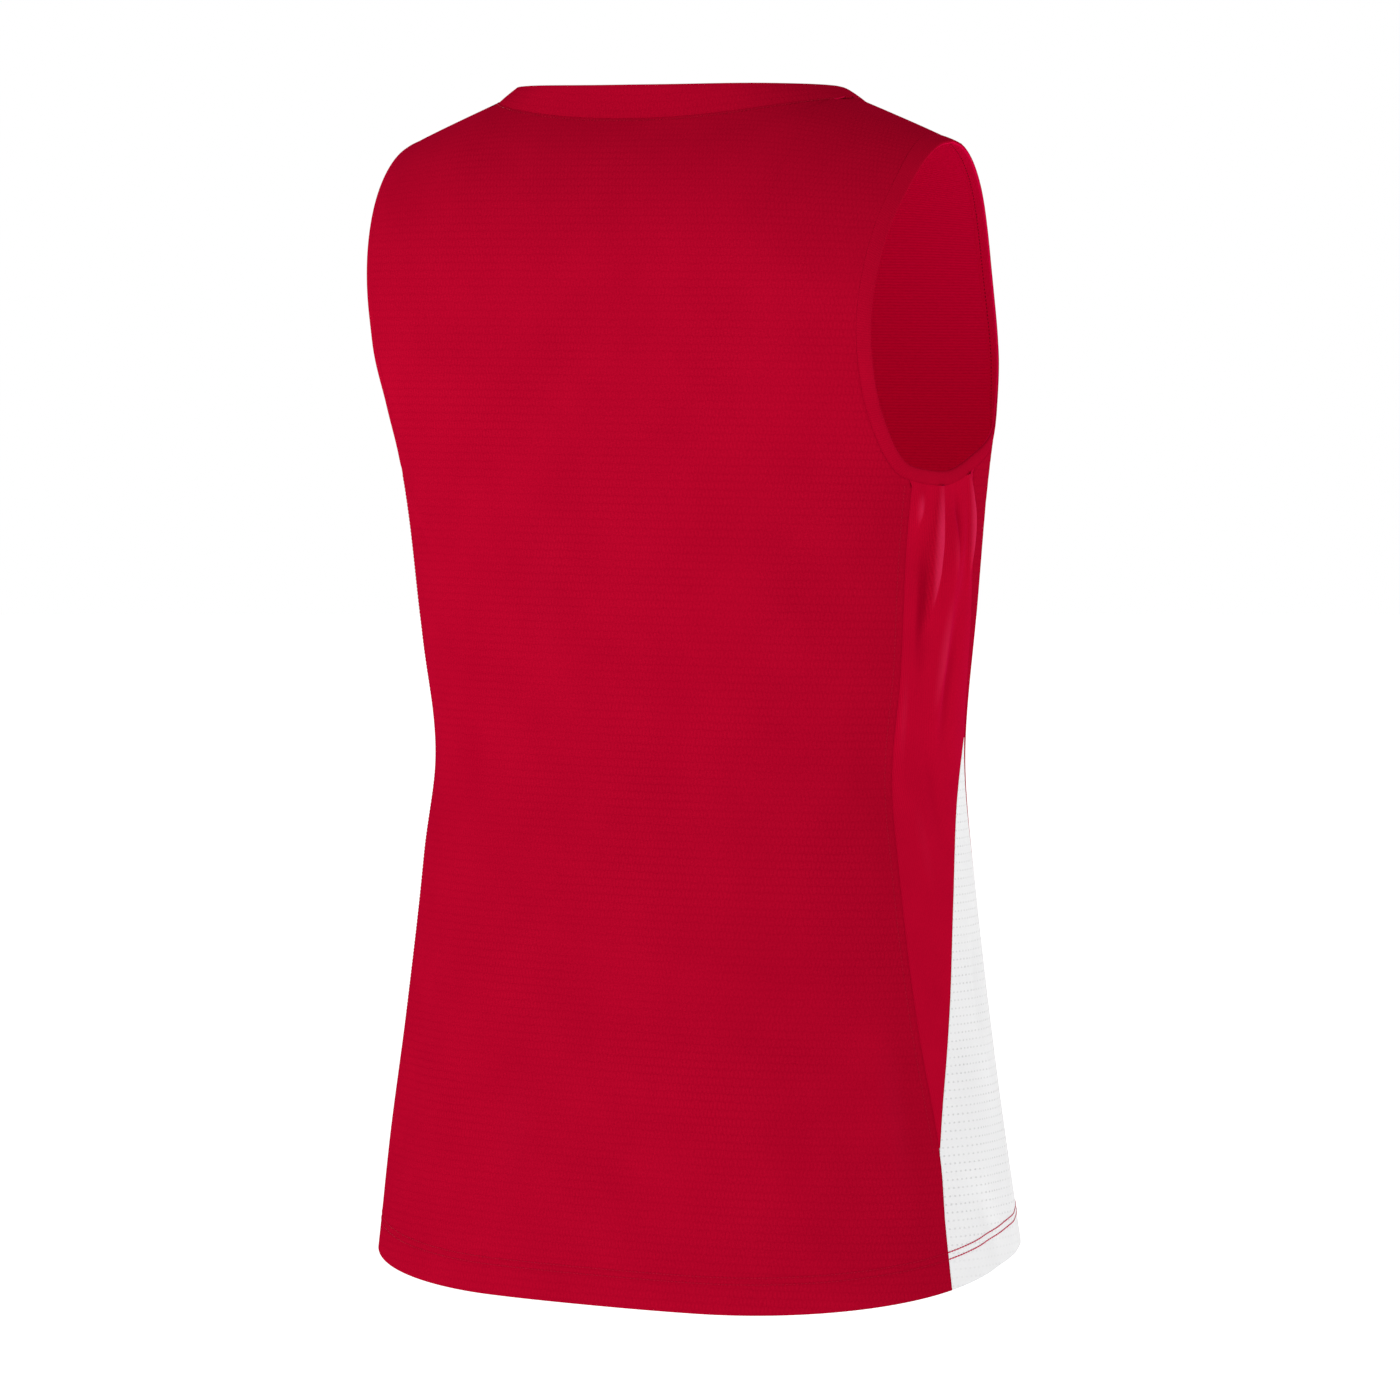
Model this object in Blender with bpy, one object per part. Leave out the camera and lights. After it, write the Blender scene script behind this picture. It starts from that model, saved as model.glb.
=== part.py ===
"""A sleeveless basketball jersey, filled out as if worn, with no wearer inside.

The cloth lies on one general torso form. A spot on the form is named by two numbers: its turn, in
degrees round the body from the centre back, and its lift, which is its height in millimetres up to
where the cloth starts to roll over the shoulder, and from there on grows with the cloth's own length.
Each pattern piece is a grid of such spots between its own cut edges, given a wall's thickness towards the body. +Z is up, the front faces
-Y and the wearer's left is +X. The origin lies midway between the shoulders that carry the garment.
"""

import math
from collections import namedtuple

import bmesh
import bpy

MM = 0.001

# Cloth
KNIT_WALL = 1.4  # mm, the body panels' wall
BAND_WALL = 2.0  # mm, a folded band's wall
SEAM_GAP = 0.3  # mm, clear space between pieces that are sewn together
TIP = 3.0  # mm, how wide a pointed piece is where its point is cut off

# Shoulders
NECK_POINT = 126  # mm from the centre plane to where the neck meets the shoulder seam
NECK_POINT_HEIGHT = 17
SHOULDER_SLOPE = 0.381  # fall for each mm outwards
ASKEW = 0.02  # the garment hangs a little higher on its left: rise for each mm to the left
SPINE_RISE = 11  # how far the form's ridge would rise at the centre plane above the neck point
BACK_ROLL = 120  # height over which the back rolls over to the shoulder seam
FRONT_ROLL = 150

# Neck opening
BACK_NECK_HEIGHT = 2  # of the seam at the centre back
FRONT_NECK_DROP = 103  # of the seam at the centre front, below the neck point
BACK_BAND = 22  # width of the neck band at the centre back
FRONT_BAND = 15.5  # and from the neck points round the front
BACK_STAND = 40  # degrees that the neck band stands up off the cloth's own direction
SIDE_STAND = 12
FRONT_STAND = 8
ARM_BAND = 9.0  # width of the armhole bands

# Hem
HEM_BACK = -742
HEM_SIDE_RISE = 42  # how far the hem climbs from the back to the front
HEM_TURN_LOW = 19  # the hem stays level until this turn, and is level again past the next
HEM_TURN_HIGH = 135

Section = namedtuple("Section", "height half_width back front square")
SECTIONS = [
    Section(-742, 223, 117, 162, 2.3),
    Section(-600, 203, 108, 147, 2.3),
    Section(-480, 188, 99, 138, 2.3),
    Section(-398, 182, 94, 131, 2.3),
    Section(-300, 191, 100, 134, 2.3),
    Section(-219, 199, 107, 134, 2.4),
    Section(-180, 202, 109, 126, 2.9),
    Section(-140, 203, 110, 119, 3.8),
    Section(-60, 205, 110, 110, 4.5),
    Section(40, 205, 108, 104, 5.0),
]

# Sewn lines on the left half: at each height, the turn where the line crosses it
Crossing = namedtuple("Crossing", "height turn")
BACK_SEAM = [
    Crossing(-738, 69.3),
    Crossing(-686, 69.6),
    Crossing(-641, 70.4),
    Crossing(-563, 67.5),
    Crossing(-507, 66.2),
    Crossing(-436, 65.4),
    Crossing(-351, 66.3),
    Crossing(-287, 65.5),
    Crossing(-196, 66.0),
]
WEDGE_BACK_SEAM = [
    Crossing(-641, 70.4),
    Crossing(-607, 73.8),
    Crossing(-546, 81.3),
    Crossing(-500, 86.6),
    Crossing(-454, 92.6),
    Crossing(-423, 97.6),
    Crossing(-383, 106.5),
]
WEDGE_FRONT_SEAM = [
    Crossing(-738, 126.0),
    Crossing(-636, 121.5),
    Crossing(-546, 116.5),
    Crossing(-441, 110.5),
    Crossing(-383, 106.5),
]
FRONT_SEAM = [
    Crossing(-383, 106.5),
    Crossing(-336, 103.5),
    Crossing(-296, 100.5),
    Crossing(-260, 98.2),
    Crossing(-232, 95.6),
    Crossing(-196, 94.7),
]
WEDGE_FOOT = -641  # height where the smooth side piece runs out
WEDGE_TOP = -383  # height of the wedge's point

# Edge of the armhole, from the shoulder down the back, under the arm and up the front
Edge = namedtuple("Edge", "turn height")
ARMHOLE = [
    Edge(54.0, -10),
    Edge(53.0, -36),
    Edge(50.8, -71),
    Edge(49.8, -111),
    Edge(50.3, -141),
    Edge(52.6, -166),
    Edge(56.5, -188),
    Edge(61.0, -205),
    Edge(66.0, -213.5),
    Edge(78.0, -216),
    Edge(87.0, -211),
    Edge(94.7, -205),
    Edge(104.0, -198),
    Edge(114.0, -188),
    Edge(122.5, -173),
    Edge(128.5, -151),
    Edge(131.5, -121),
    Edge(132.5, -91),
    Edge(131.5, -61),
    Edge(129.0, -34),
    Edge(126.0, -10),
]
ARMHOLE_BACK_CORNER = 8  # row where the back seam reaches the armhole
ARMHOLE_FRONT_CORNER = 11

# Broad soft folds: each runs from its top to its foot, and fades out over its length and its width
Fold = namedtuple("Fold", "top_turn top_height foot_turn foot_height width depth")
FOLDS = [
    Fold(88, -200, 80, -330, 20, 4),
    Fold(72, -225, 70, -300, 12, -3),
    Fold(58, -330, 66, -470, 34, -3),
    Fold(24, -420, 34, -720, 34, 3),
    Fold(46, -480, 52, -740, 26, -3),
    Fold(-20, -450, -28, -720, 38, 3),
    Fold(-48, -500, -50, -740, 26, -3),
    Fold(0, -470, 2, -730, 30, -2),
    Fold(-88, -205, -80, -330, 20, 4),
    Fold(-72, -225, -70, -300, 12, -3),
    Fold(-58, -330, -66, -470, 34, -3),
    Fold(84, -560, 88, -720, 20, 3),
    Fold(-84, -560, -88, -720, 20, 3),
    Fold(150, -430, 142, -690, 34, 4),
    Fold(-156, -450, -146, -690, 34, 4),
    Fold(172, -380, 178, -680, 30, -3),
    Fold(126, -230, 142, -380, 24, 3),
    Fold(-126, -230, -142, -380, 24, 3),
]

# Grid steps
MM_PER_DEGREE = 3.2  # the usual length of a degree of turn
RELAX_ROUNDS = 200
NECK_COLUMNS = 7  # of each half of the back and the front, along the neck seam
SHOULDER_COLUMNS = 5  # and along the shoulder seam
HALF_COLUMNS = NECK_COLUMNS + SHOULDER_COLUMNS
SIDE_COLUMNS = 4
HEM_ROWS = 3  # from the hem to the wedge's foot
MIDDLE_ROWS = 7  # from there to the wedge's point
UPPER_ROWS = 5  # from there to the armhole
ARMHOLE_ROWS = 11  # from there to the shoulder

RED_KNIT = (0.40, 0.0, 0.014)
RED_SMOOTH = (0.43, 0.001, 0.022)
WHITE_KNIT = (0.80, 0.80, 0.82)


def blend(table, at):
    """The row of a table at a value of its first column, on a smooth curve through its rows."""
    if at <= table[0][0]:
        return table[0]
    if at >= table[-1][0]:
        return table[-1]
    low = max(i for i in range(len(table) - 1) if table[i][0] <= at)
    before, start, end, after = (table[max(0, min(len(table) - 1, low + k))] for k in (-1, 0, 1, 2))
    span = end[0] - start[0]
    t = (at - start[0]) / span
    values = [at]
    for a, b, c, d in zip(before[1:], start[1:], end[1:], after[1:]):
        leave = (c - a) / (end[0] - before[0])
        arrive = (d - b) / (after[0] - start[0])
        values.append(
            b * (2 * t**3 - 3 * t**2 + 1)
            + leave * span * (t**3 - 2 * t**2 + t)
            + c * (3 * t**2 - 2 * t**3)
            + arrive * span * (t**3 - t**2)
        )
    return type(start)(*values)


def eased(t):
    t = min(1.0, max(0.0, t))
    return t * t * (3 - 2 * t)


def ridge(across):
    """Height of the form's top line at a distance from the centre plane."""
    across = abs(across)
    if across >= NECK_POINT:
        return NECK_POINT_HEIGHT - SHOULDER_SLOPE * (across - NECK_POINT)
    t = across / NECK_POINT
    return (
        NECK_POINT_HEIGHT
        + SPINE_RISE * (2 * t**3 - 3 * t**2 + 1)
        - SHOULDER_SLOPE * NECK_POINT * (t**3 - t**2)
    )


def turn_at(across, height, front):
    """The turn where the torso's outline at a height lies a distance from the centre plane."""
    section = blend(SECTIONS, height)
    side = min(1.0, across / section.half_width)
    back = (1 - side**section.square) ** (1 / section.square)
    return math.degrees(math.atan2(side, -back if front else back))


def roll_height(turn):
    return BACK_ROLL if abs(turn) < 90 else FRONT_ROLL


def ring(turn, height):
    """(across, fore and aft) of the torso's outline at a height."""
    section = blend(SECTIONS, height)
    side = math.sin(math.radians(turn))
    back = math.cos(math.radians(turn))
    reach = (abs(side) ** section.square + abs(back) ** section.square) ** (-1 / section.square)
    middle = (section.back - section.front) / 2
    depth = (section.back + section.front) / 2
    return section.half_width * reach * side, middle + depth * reach * back


def roll_start(turn, height):
    """Height where the cloth starts to roll over, above a place on the outline."""
    return ridge(ring(turn, height)[0]) - roll_height(turn)


def top_lift(turn):
    """The lift of the shoulder seam."""
    height = 0
    for _ in range(4):
        height = ridge(ring(turn, height)[0])
    return roll_start(turn, height) + roll_height(turn) * math.pi / 2


def height_at(turn, lift):
    """(height, share of the full depth) of a spot."""
    roll = roll_height(turn)
    height = lift
    for _ in range(6):
        start = roll_start(turn, height)
        angle = max(0.0, lift - start) / roll
        height = lift if lift < start else start + roll * math.sin(min(angle, math.pi / 2))
    return height, math.cos(angle)


def lift_at(turn, height):
    """The lift of the spot at a height: the way back from height_at."""
    start = roll_start(turn, height)
    if height < start:
        return height
    roll = roll_height(turn)
    return start + roll * math.asin(min(1.0, (height - start) / roll))


def fold_at(turn, height):
    """How far the soft folds push the cloth outwards, in mm."""
    push = 0.0
    for fold in FOLDS:
        along = (fold.top_height - height) / (fold.top_height - fold.foot_height)
        if not 0 < along < 1:
            continue
        centre = fold.top_turn + (fold.foot_turn - fold.top_turn) * along
        off = math.remainder(turn - centre, 360) * MM_PER_DEGREE / fold.width
        push += fold.depth * math.exp(-off * off) * math.sin(math.pi * along) ** 2
    return push


def bare(turn, lift):
    height, share = height_at(turn, lift)
    across, deep = ring(turn, height)
    return (across, deep * share, height)


def minus(a, b):
    return tuple(p - q for p, q in zip(a, b))


def plus(a, b, times=1.0):
    return tuple(p + q * times for p, q in zip(a, b))


def dot(a, b):
    return sum(p * q for p, q in zip(a, b))


def cross(a, b):
    return (
        a[1] * b[2] - a[2] * b[1],
        a[2] * b[0] - a[0] * b[2],
        a[0] * b[1] - a[1] * b[0],
    )


def unit(a):
    size = math.sqrt(dot(a, a))
    return tuple(p / size for p in a)


def spans(turn, lift, step=0.5):
    """The form's two slopes at a spot: along turn, for each degree, and along lift, for each mm."""
    lift = min(lift, top_lift(turn) - 4 * step)
    by_turn = minus(bare(turn + step, lift), bare(turn - step, lift))
    by_lift = minus(bare(turn, lift + step), bare(turn, lift - step))
    return tuple(p / (2 * step) for p in by_turn), tuple(p / (2 * step) for p in by_lift)


def outward(turn, lift):
    by_turn, by_lift = spans(turn, lift)
    return unit(cross(by_lift, by_turn))


def surface(turn, lift):
    """(point on the cloth's outer face, the way out of the cloth) in mm."""
    point = bare(turn, lift)
    out = outward(turn, lift)
    return plus(point, out, fold_at(turn, point[2])), out


def walk(spot, way, distance):
    """The spot that lies a distance from another, in a direction along the cloth."""
    by_turn, by_lift = spans(*spot)
    a, b, c = dot(by_turn, by_turn), dot(by_turn, by_lift), dot(by_lift, by_lift)
    p, q = dot(by_turn, way) * distance, dot(by_lift, way) * distance
    size = a * c - b * b
    return (spot[0] + (p * c - q * b) / size, spot[1] + (q * a - p * b) / size)


def hem_height(turn):
    share = (abs(turn) - HEM_TURN_LOW) / (HEM_TURN_HIGH - HEM_TURN_LOW)
    return HEM_BACK + HEM_SIDE_RISE * eased(share)


def seam_spot(table, height, shift=0.0):
    """A spot on a sewn line, moved some mm along the turn so that the gap between pieces stays clear."""
    turn = blend(table, height).turn
    spot = (turn, lift_at(turn, height))
    return aside(spot, shift)


def hem_spot(turn):
    return (turn, lift_at(turn, hem_height(turn)))


def hem_corner(table, shift):
    height = HEM_BACK
    for _ in range(5):
        height = hem_height(blend(table, height).turn)
    return seam_spot(table, height, shift), height


def armhole_edge(row):
    """A spot on the armhole's edge. Row counts down the table, and may be a fraction."""
    rows = [(index, *edge) for index, edge in enumerate(ARMHOLE)]
    low = min(int(row), len(rows) - 2)
    t = row - low
    a, b, c, d = (rows[max(0, min(len(rows) - 1, low + k))] for k in (-1, 0, 1, 2))
    turn, height = (
        0.5 * (2 * b[k] + (c[k] - a[k]) * t + (2 * a[k] - 5 * b[k] + 4 * c[k] - d[k]) * t**2
               + (3 * b[k] - a[k] - 3 * c[k] + d[k]) * t**3)
        for k in (1, 2)
    )
    top = top_lift(turn)
    if row <= 0 or row >= len(rows) - 1:
        return (turn, top)
    return (turn, min(top, lift_at(turn, height)))


def armhole_ways(row):
    """(spot, the way along the edge, the way across it and off the opening) at a row."""
    spot = armhole_edge(row)
    step = 0.1
    last = len(ARMHOLE) - 1
    before = bare(*armhole_edge(max(0, row - step)))
    after = bare(*armhole_edge(min(last, row + step)))
    along = unit(minus(after, before))
    return spot, along, unit(cross(outward(*spot), along))


def armhole_spot(row, distance):
    """A spot at a distance outside the armhole's edge. At the shoulder it stays on the seam."""
    spot, _, away = armhole_ways(row)
    top = top_lift(spot[0])
    if row in (0, len(ARMHOLE) - 1):
        across = bare(*spot)[0] - distance / math.hypot(1, SHOULDER_SLOPE)
        turn = turn_at(across, ridge(across), front=row > 0)
        return (turn, top_lift(turn))
    moved = walk(spot, away, distance)
    return (moved[0], min(moved[1], top))


def neckline(share, front=False):
    """A spot on the neck seam: share 0 is the centre back, 1 the neck point, 2 the centre front."""
    front = front or share > 1
    if not front:
        angle = share * math.pi / 2
        across = NECK_POINT * math.sin(angle)
        height = BACK_NECK_HEIGHT + (NECK_POINT_HEIGHT - BACK_NECK_HEIGHT) * math.sin(angle) ** 2.2
    else:
        angle = (2 - share) * math.pi / 2
        across = NECK_POINT * (0.75 * math.sin(angle) + 0.25 * math.sin(angle) ** 3)
        height = NECK_POINT_HEIGHT - FRONT_NECK_DROP * math.cos(angle) ** 1.5
    turn = turn_at(across, height, front)
    if abs(share - 1) < 1e-6:
        return (turn, top_lift(turn))
    return (turn, lift_at(turn, height))


def coons(foot, top, inner, outer, columns, rows):
    """A grid of spots between four edges. foot and top take a column, inner and outer a row."""
    grid = []
    for j in range(rows + 1):
        v = j / rows
        line = []
        for i in range(columns + 1):
            u = i / columns
            line.append(
                tuple(
                    (1 - v) * foot[i][k] + v * top[i][k]
                    + (1 - u) * inner[j][k] + u * outer[j][k]
                    - (1 - u) * (1 - v) * foot[0][k] - u * (1 - v) * foot[-1][k]
                    - (1 - u) * v * top[0][k] - u * v * top[-1][k]
                    for k in (0, 1)
                )
            )
        grid.append(line)
    return grid


def relaxed(grid):
    """The grid with its inside spots moved until its lines run evenly and square to each other."""
    grid = [[(turn * MM_PER_DEGREE, lift) for turn, lift in line] for line in grid]
    for _ in range(RELAX_ROUNDS):
        for j in range(1, len(grid) - 1):
            for i in range(1, len(grid[0]) - 1):
                west, east = grid[j][i - 1], grid[j][i + 1]
                below, above = grid[j - 1][i], grid[j + 1][i]
                by_i, by_j = minus(east, west), minus(above, below)
                a, b, c = dot(by_j, by_j), dot(by_i, by_j), dot(by_i, by_i)
                grid[j][i] = tuple(
                    (
                        a * (west[k] + east[k])
                        + c * (below[k] + above[k])
                        - b / 2 * (grid[j + 1][i + 1][k] - grid[j + 1][i - 1][k]
                                   - grid[j - 1][i + 1][k] + grid[j - 1][i - 1][k])
                    ) / (2 * (a + c))
                    for k in (0, 1)
                )
    return [[(across / MM_PER_DEGREE, lift) for across, lift in line] for line in grid]


def steps(start, end, count):
    return [start + (end - start) * i / count for i in range(count + 1)]


def other_side(half):
    """A grid's mirror image on the right half."""
    return [[(-turn, lift) for turn, lift in line] for line in half]


def seam_lines(tables_and_heights, shift):
    """Spots up a chain of sewn lines, a stretch for each (table, from, to, rows)."""
    spots = []
    for table, low, high, rows in tables_and_heights:
        stretch = [seam_spot(table, height, shift) for height in steps(low, high, rows)]
        spots += stretch if not spots else stretch[1:]
    return spots


HALF_GAP = SEAM_GAP / 2
PANEL_OFFSET = ARM_BAND + HALF_GAP


def corner_height(table, row):
    """Height where a sewn line meets the armhole seam."""
    spot = armhole_spot(row, PANEL_OFFSET)
    return height_at(*spot)[0]


def off_neck(share):
    """A spot half a gap off the front neck seam, on the panel's side of it."""
    spot = neckline(share, front=True)
    if share == 2:
        return lowered(spot, HALF_GAP)
    before = bare(*neckline(max(1, share - 0.01), True))
    after = bare(*neckline(min(2, share + 0.01), True))
    return walk(spot, unit(cross(minus(before, after), outward(*spot))), HALF_GAP)


def back_grid():
    """The left half of the back, from the centre line to the side."""
    neck = [lowered(neckline(share), HALF_GAP) for share in steps(0, 1, NECK_COLUMNS)]
    tip = armhole_spot(0, PANEL_OFFSET)
    shoulder = steps(neck[-1][0], tip[0], SHOULDER_COLUMNS)
    top = neck + [shoulder_spot(turn) for turn in shoulder[1:]]
    corner, hem_at_seam = hem_corner(BACK_SEAM, -HALF_GAP)
    foot = [hem_spot(turn) for turn in steps(0, corner[0], HALF_COLUMNS)]
    armpit = corner_height(BACK_SEAM, ARMHOLE_BACK_CORNER)
    outer = seam_lines(
        [
            (BACK_SEAM, hem_at_seam, WEDGE_FOOT, HEM_ROWS),
            (BACK_SEAM, WEDGE_FOOT, WEDGE_TOP, MIDDLE_ROWS),
            (BACK_SEAM, WEDGE_TOP, armpit, UPPER_ROWS),
        ],
        -HALF_GAP,
    )
    outer[-1] = aside(armhole_spot(ARMHOLE_BACK_CORNER, PANEL_OFFSET), -HALF_GAP)
    outer += [
        armhole_spot(row, PANEL_OFFSET) for row in steps(ARMHOLE_BACK_CORNER, 0, ARMHOLE_ROWS)[1:]
    ]
    outer[-1] = top[-1]
    rows = len(outer) - 1
    inner = [(0.0, lift) for lift in spaced_like(outer, foot[0][1], top[0][1])]
    return coons(foot, top, inner, outer, HALF_COLUMNS, rows)


def front_grid():
    """The left half of the front, from the side to the centre line and, above that, the neck seam."""
    tip = armhole_spot(len(ARMHOLE) - 1, PANEL_OFFSET)
    neck = [off_neck(share) for share in steps(2, 1, NECK_COLUMNS)]
    top = [shoulder_spot(turn) for turn in steps(tip[0], neck[-1][0], HALF_COLUMNS)]
    corner, hem_at_seam = hem_corner(WEDGE_FRONT_SEAM, HALF_GAP)
    foot = [hem_spot(turn) for turn in steps(corner[0], 180, HALF_COLUMNS)]
    armpit = corner_height(FRONT_SEAM, ARMHOLE_FRONT_CORNER)
    side = seam_lines(
        [
            (WEDGE_FRONT_SEAM, hem_at_seam, WEDGE_FOOT, HEM_ROWS),
            (WEDGE_FRONT_SEAM, WEDGE_FOOT, WEDGE_TOP, MIDDLE_ROWS),
            (FRONT_SEAM, WEDGE_TOP, armpit, UPPER_ROWS),
        ],
        HALF_GAP,
    )
    last = len(ARMHOLE) - 1
    side[-1] = aside(armhole_spot(ARMHOLE_FRONT_CORNER, PANEL_OFFSET), HALF_GAP)
    side += [
        armhole_spot(row, PANEL_OFFSET)
        for row in steps(ARMHOLE_FRONT_CORNER, last, ARMHOLE_ROWS)[1:]
    ]
    side[-1] = top[0]
    rows = len(side) - 1
    to_neck = rows - NECK_COLUMNS
    centre = [(180.0, lift) for lift in spaced_like(side[: to_neck + 1], foot[-1][1], neck[0][1])]
    centre += neck[1:-1] + [top[-1]]
    return relaxed(coons(foot, top, side, centre, HALF_COLUMNS, rows))


def side_grid():
    """The smooth piece under the arm, which narrows to a point above the hem."""
    armpit_back = corner_height(BACK_SEAM, ARMHOLE_BACK_CORNER)
    armpit_front = corner_height(FRONT_SEAM, ARMHOLE_FRONT_CORNER)
    back = seam_lines(
        [
            (BACK_SEAM, WEDGE_FOOT, WEDGE_TOP, MIDDLE_ROWS),
            (BACK_SEAM, WEDGE_TOP, armpit_back, UPPER_ROWS),
        ],
        HALF_GAP,
    )
    front = seam_lines(
        [
            (WEDGE_BACK_SEAM, WEDGE_FOOT, WEDGE_TOP, MIDDLE_ROWS),
            (FRONT_SEAM, WEDGE_TOP, armpit_front, UPPER_ROWS),
        ],
        -HALF_GAP,
    )
    blunt(back, front, 0)
    corners = steps(ARMHOLE_BACK_CORNER, ARMHOLE_FRONT_CORNER, SIDE_COLUMNS)
    top = [armhole_spot(row, PANEL_OFFSET) for row in corners]
    back[-1] = top[0] = aside(top[0], HALF_GAP)
    front[-1] = top[-1] = aside(top[-1], -HALF_GAP)
    foot = [between(back[0], front[0], i / SIDE_COLUMNS) for i in range(SIDE_COLUMNS + 1)]
    return coons(foot, top, back, front, SIDE_COLUMNS, len(back) - 1)


def wedge_grid():
    """The contrast piece at the side, which widens from a point at the waist to the hem."""
    back_corner, back_hem = hem_corner(BACK_SEAM, HALF_GAP)
    front_corner, front_hem = hem_corner(WEDGE_FRONT_SEAM, -HALF_GAP)
    back = seam_lines(
        [
            (BACK_SEAM, back_hem, WEDGE_FOOT, HEM_ROWS),
            (WEDGE_BACK_SEAM, WEDGE_FOOT, WEDGE_TOP, MIDDLE_ROWS),
        ],
        HALF_GAP,
    )
    front = seam_lines(
        [
            (WEDGE_FRONT_SEAM, front_hem, WEDGE_FOOT, HEM_ROWS),
            (WEDGE_FRONT_SEAM, WEDGE_FOOT, WEDGE_TOP, MIDDLE_ROWS),
        ],
        -HALF_GAP,
    )
    blunt(back, front, -1)
    foot = [hem_spot(turn) for turn in steps(back_corner[0], front_corner[0], SIDE_COLUMNS)]
    top = [between(back[-1], front[-1], i / SIDE_COLUMNS) for i in range(SIDE_COLUMNS + 1)]
    return coons(foot, top, back, front, SIDE_COLUMNS, len(back) - 1)


def between(a, b, share):
    return tuple(p + (q - p) * share for p, q in zip(a, b))


def blunt(back, front, end):
    """Cuts a point off where two edges meet, so that the piece is still TIP wide there."""
    neighbour = end + 1 if end == 0 else end - 1
    by_turn, _ = spans(*back[neighbour])
    width = TIP / math.sqrt(dot(by_turn, by_turn))
    full = front[neighbour][0] - back[neighbour][0]
    closed = front[end][0] - back[end][0]
    share = max(0.0, (width - closed) / (full - closed))
    back[end] = between(back[end], back[neighbour], share)
    front[end] = between(front[end], front[neighbour], share)


def aside(spot, distance):
    """A spot moved some mm along the turn."""
    by_turn, _ = spans(*spot)
    return (spot[0] + distance / math.sqrt(dot(by_turn, by_turn)), spot[1])


def shoulder_spot(turn):
    """A spot just short of the shoulder seam, on its own side of it."""
    return (turn, top_lift(turn) - HALF_GAP)


def lowered(spot, distance):
    return (spot[0], spot[1] - distance)


def spaced_like(edge, start, end):
    """Lifts on the centre line that keep the outer edge's own spacing."""
    heights = [spot[1] for spot in edge]
    low, high = heights[0], heights[-1]
    return [start + (end - start) * (h - low) / (high - low) for h in heights]


def armhole_rows():
    """Rows of the armhole's table at which the panels and the band have their points."""
    last = len(ARMHOLE) - 1
    down = steps(0, ARMHOLE_BACK_CORNER, ARMHOLE_ROWS)
    under = steps(ARMHOLE_BACK_CORNER, ARMHOLE_FRONT_CORNER, SIDE_COLUMNS)
    up = steps(ARMHOLE_FRONT_CORNER, last, ARMHOLE_ROWS)
    return down + under[1:] + up[1:]


def arm_band_strip():
    """Points and ways out for the band that finishes an armhole, a line for each row."""
    strip = []
    for row in armhole_rows():
        strip.append([surface(*armhole_spot(row, out)) for out in (ARM_BAND - HALF_GAP, ARM_BAND / 2, 0)])
    return strip


def neck_band_strip():
    """The neck band's left half: it starts at the seam and stands up off the cloth's direction."""
    shares = steps(0, 2, 2 * NECK_COLUMNS)
    half = []
    for share in shares:
        spot = neckline(share)
        point, out = surface(*spot)
        step = 0.02
        before = bare(*neckline(max(0, share - step)))
        after = bare(*neckline(min(2, share + step)))
        if share == 0 or share == 2:
            along = (1.0, 0.0, 0.0) if share == 0 else (-1.0, 0.0, 0.0)
        else:
            along = unit(minus(after, before))
        inward = unit(cross(along, out))
        stand = BACK_STAND + (SIDE_STAND - BACK_STAND) * eased(share)
        stand += (FRONT_STAND - SIDE_STAND) * eased(share - 1)
        band = BACK_BAND + (FRONT_BAND - BACK_BAND) * eased(share)
        lean = math.radians(stand)
        way = plus(tuple(p * math.cos(lean) for p in inward), out, math.sin(lean))
        face = plus(tuple(p * math.cos(lean) for p in out), inward, -math.sin(lean))
        half.append([(plus(point, way, up), face) for up in (HALF_GAP, band / 2, band)])
    return half


def flip(point):
    return (-point[0], point[1], point[2])


def hung(point):
    """Where a point of the even garment comes to lie, in metres, as it hangs a little askew."""
    across, deep, height = point
    return (across * MM, deep * MM, (height + ASKEW * across) * MM)


def cloth(name, patches, wall, material):
    """A wall of cloth. Each patch is a grid of (point of the outer face, way out); patches that share
    points are joined there."""
    bm = bmesh.new()
    corners = {}
    sides = {}
    for patch in patches:
        grid = [[corner_of(bm, corners, wall, *spot) for spot in line] for line in patch]
        for lower, upper in zip(grid, grid[1:]):
            for quad in zip(lower, lower[1:], upper[1:], upper):
                bm.faces.new([outer for outer, _ in quad])
                bm.faces.new([inner for _, inner in reversed(quad)])
                for side in zip(quad, quad[1:] + quad[:1]):
                    sides.setdefault(frozenset(outer for outer, _ in side), []).append(side)
    for uses in sides.values():
        if len(uses) == 1:
            (start, start_inner), (end, end_inner) = uses[0]
            bm.faces.new((end, start, start_inner, end_inner))
    bmesh.ops.recalc_face_normals(bm, faces=bm.faces)
    mesh = bpy.data.meshes.new(name)
    bm.to_mesh(mesh)
    bm.free()
    mesh.shade_smooth()
    mesh.set_sharp_from_angle(angle=math.radians(40))
    mesh.materials.append(material)
    piece = bpy.data.objects.new(name, mesh)
    bpy.context.scene.collection.objects.link(piece)
    return piece


def corner_of(bm, corners, wall, point, out):
    """The (outer, inner) vertices at a point, made on first use."""
    key = tuple(round(c, 3) for c in point)
    if key not in corners:
        corners[key] = (bm.verts.new(hung(point)), bm.verts.new(hung(plus(point, out, -wall))))
    return corners[key]


def on_form(grid):
    return [[surface(*spot) for spot in line] for line in grid]


def flipped(patch):
    """A patch's mirror image on the right half."""
    return [[(flip(point), flip(face)) for point, face in line] for line in patch]


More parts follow.
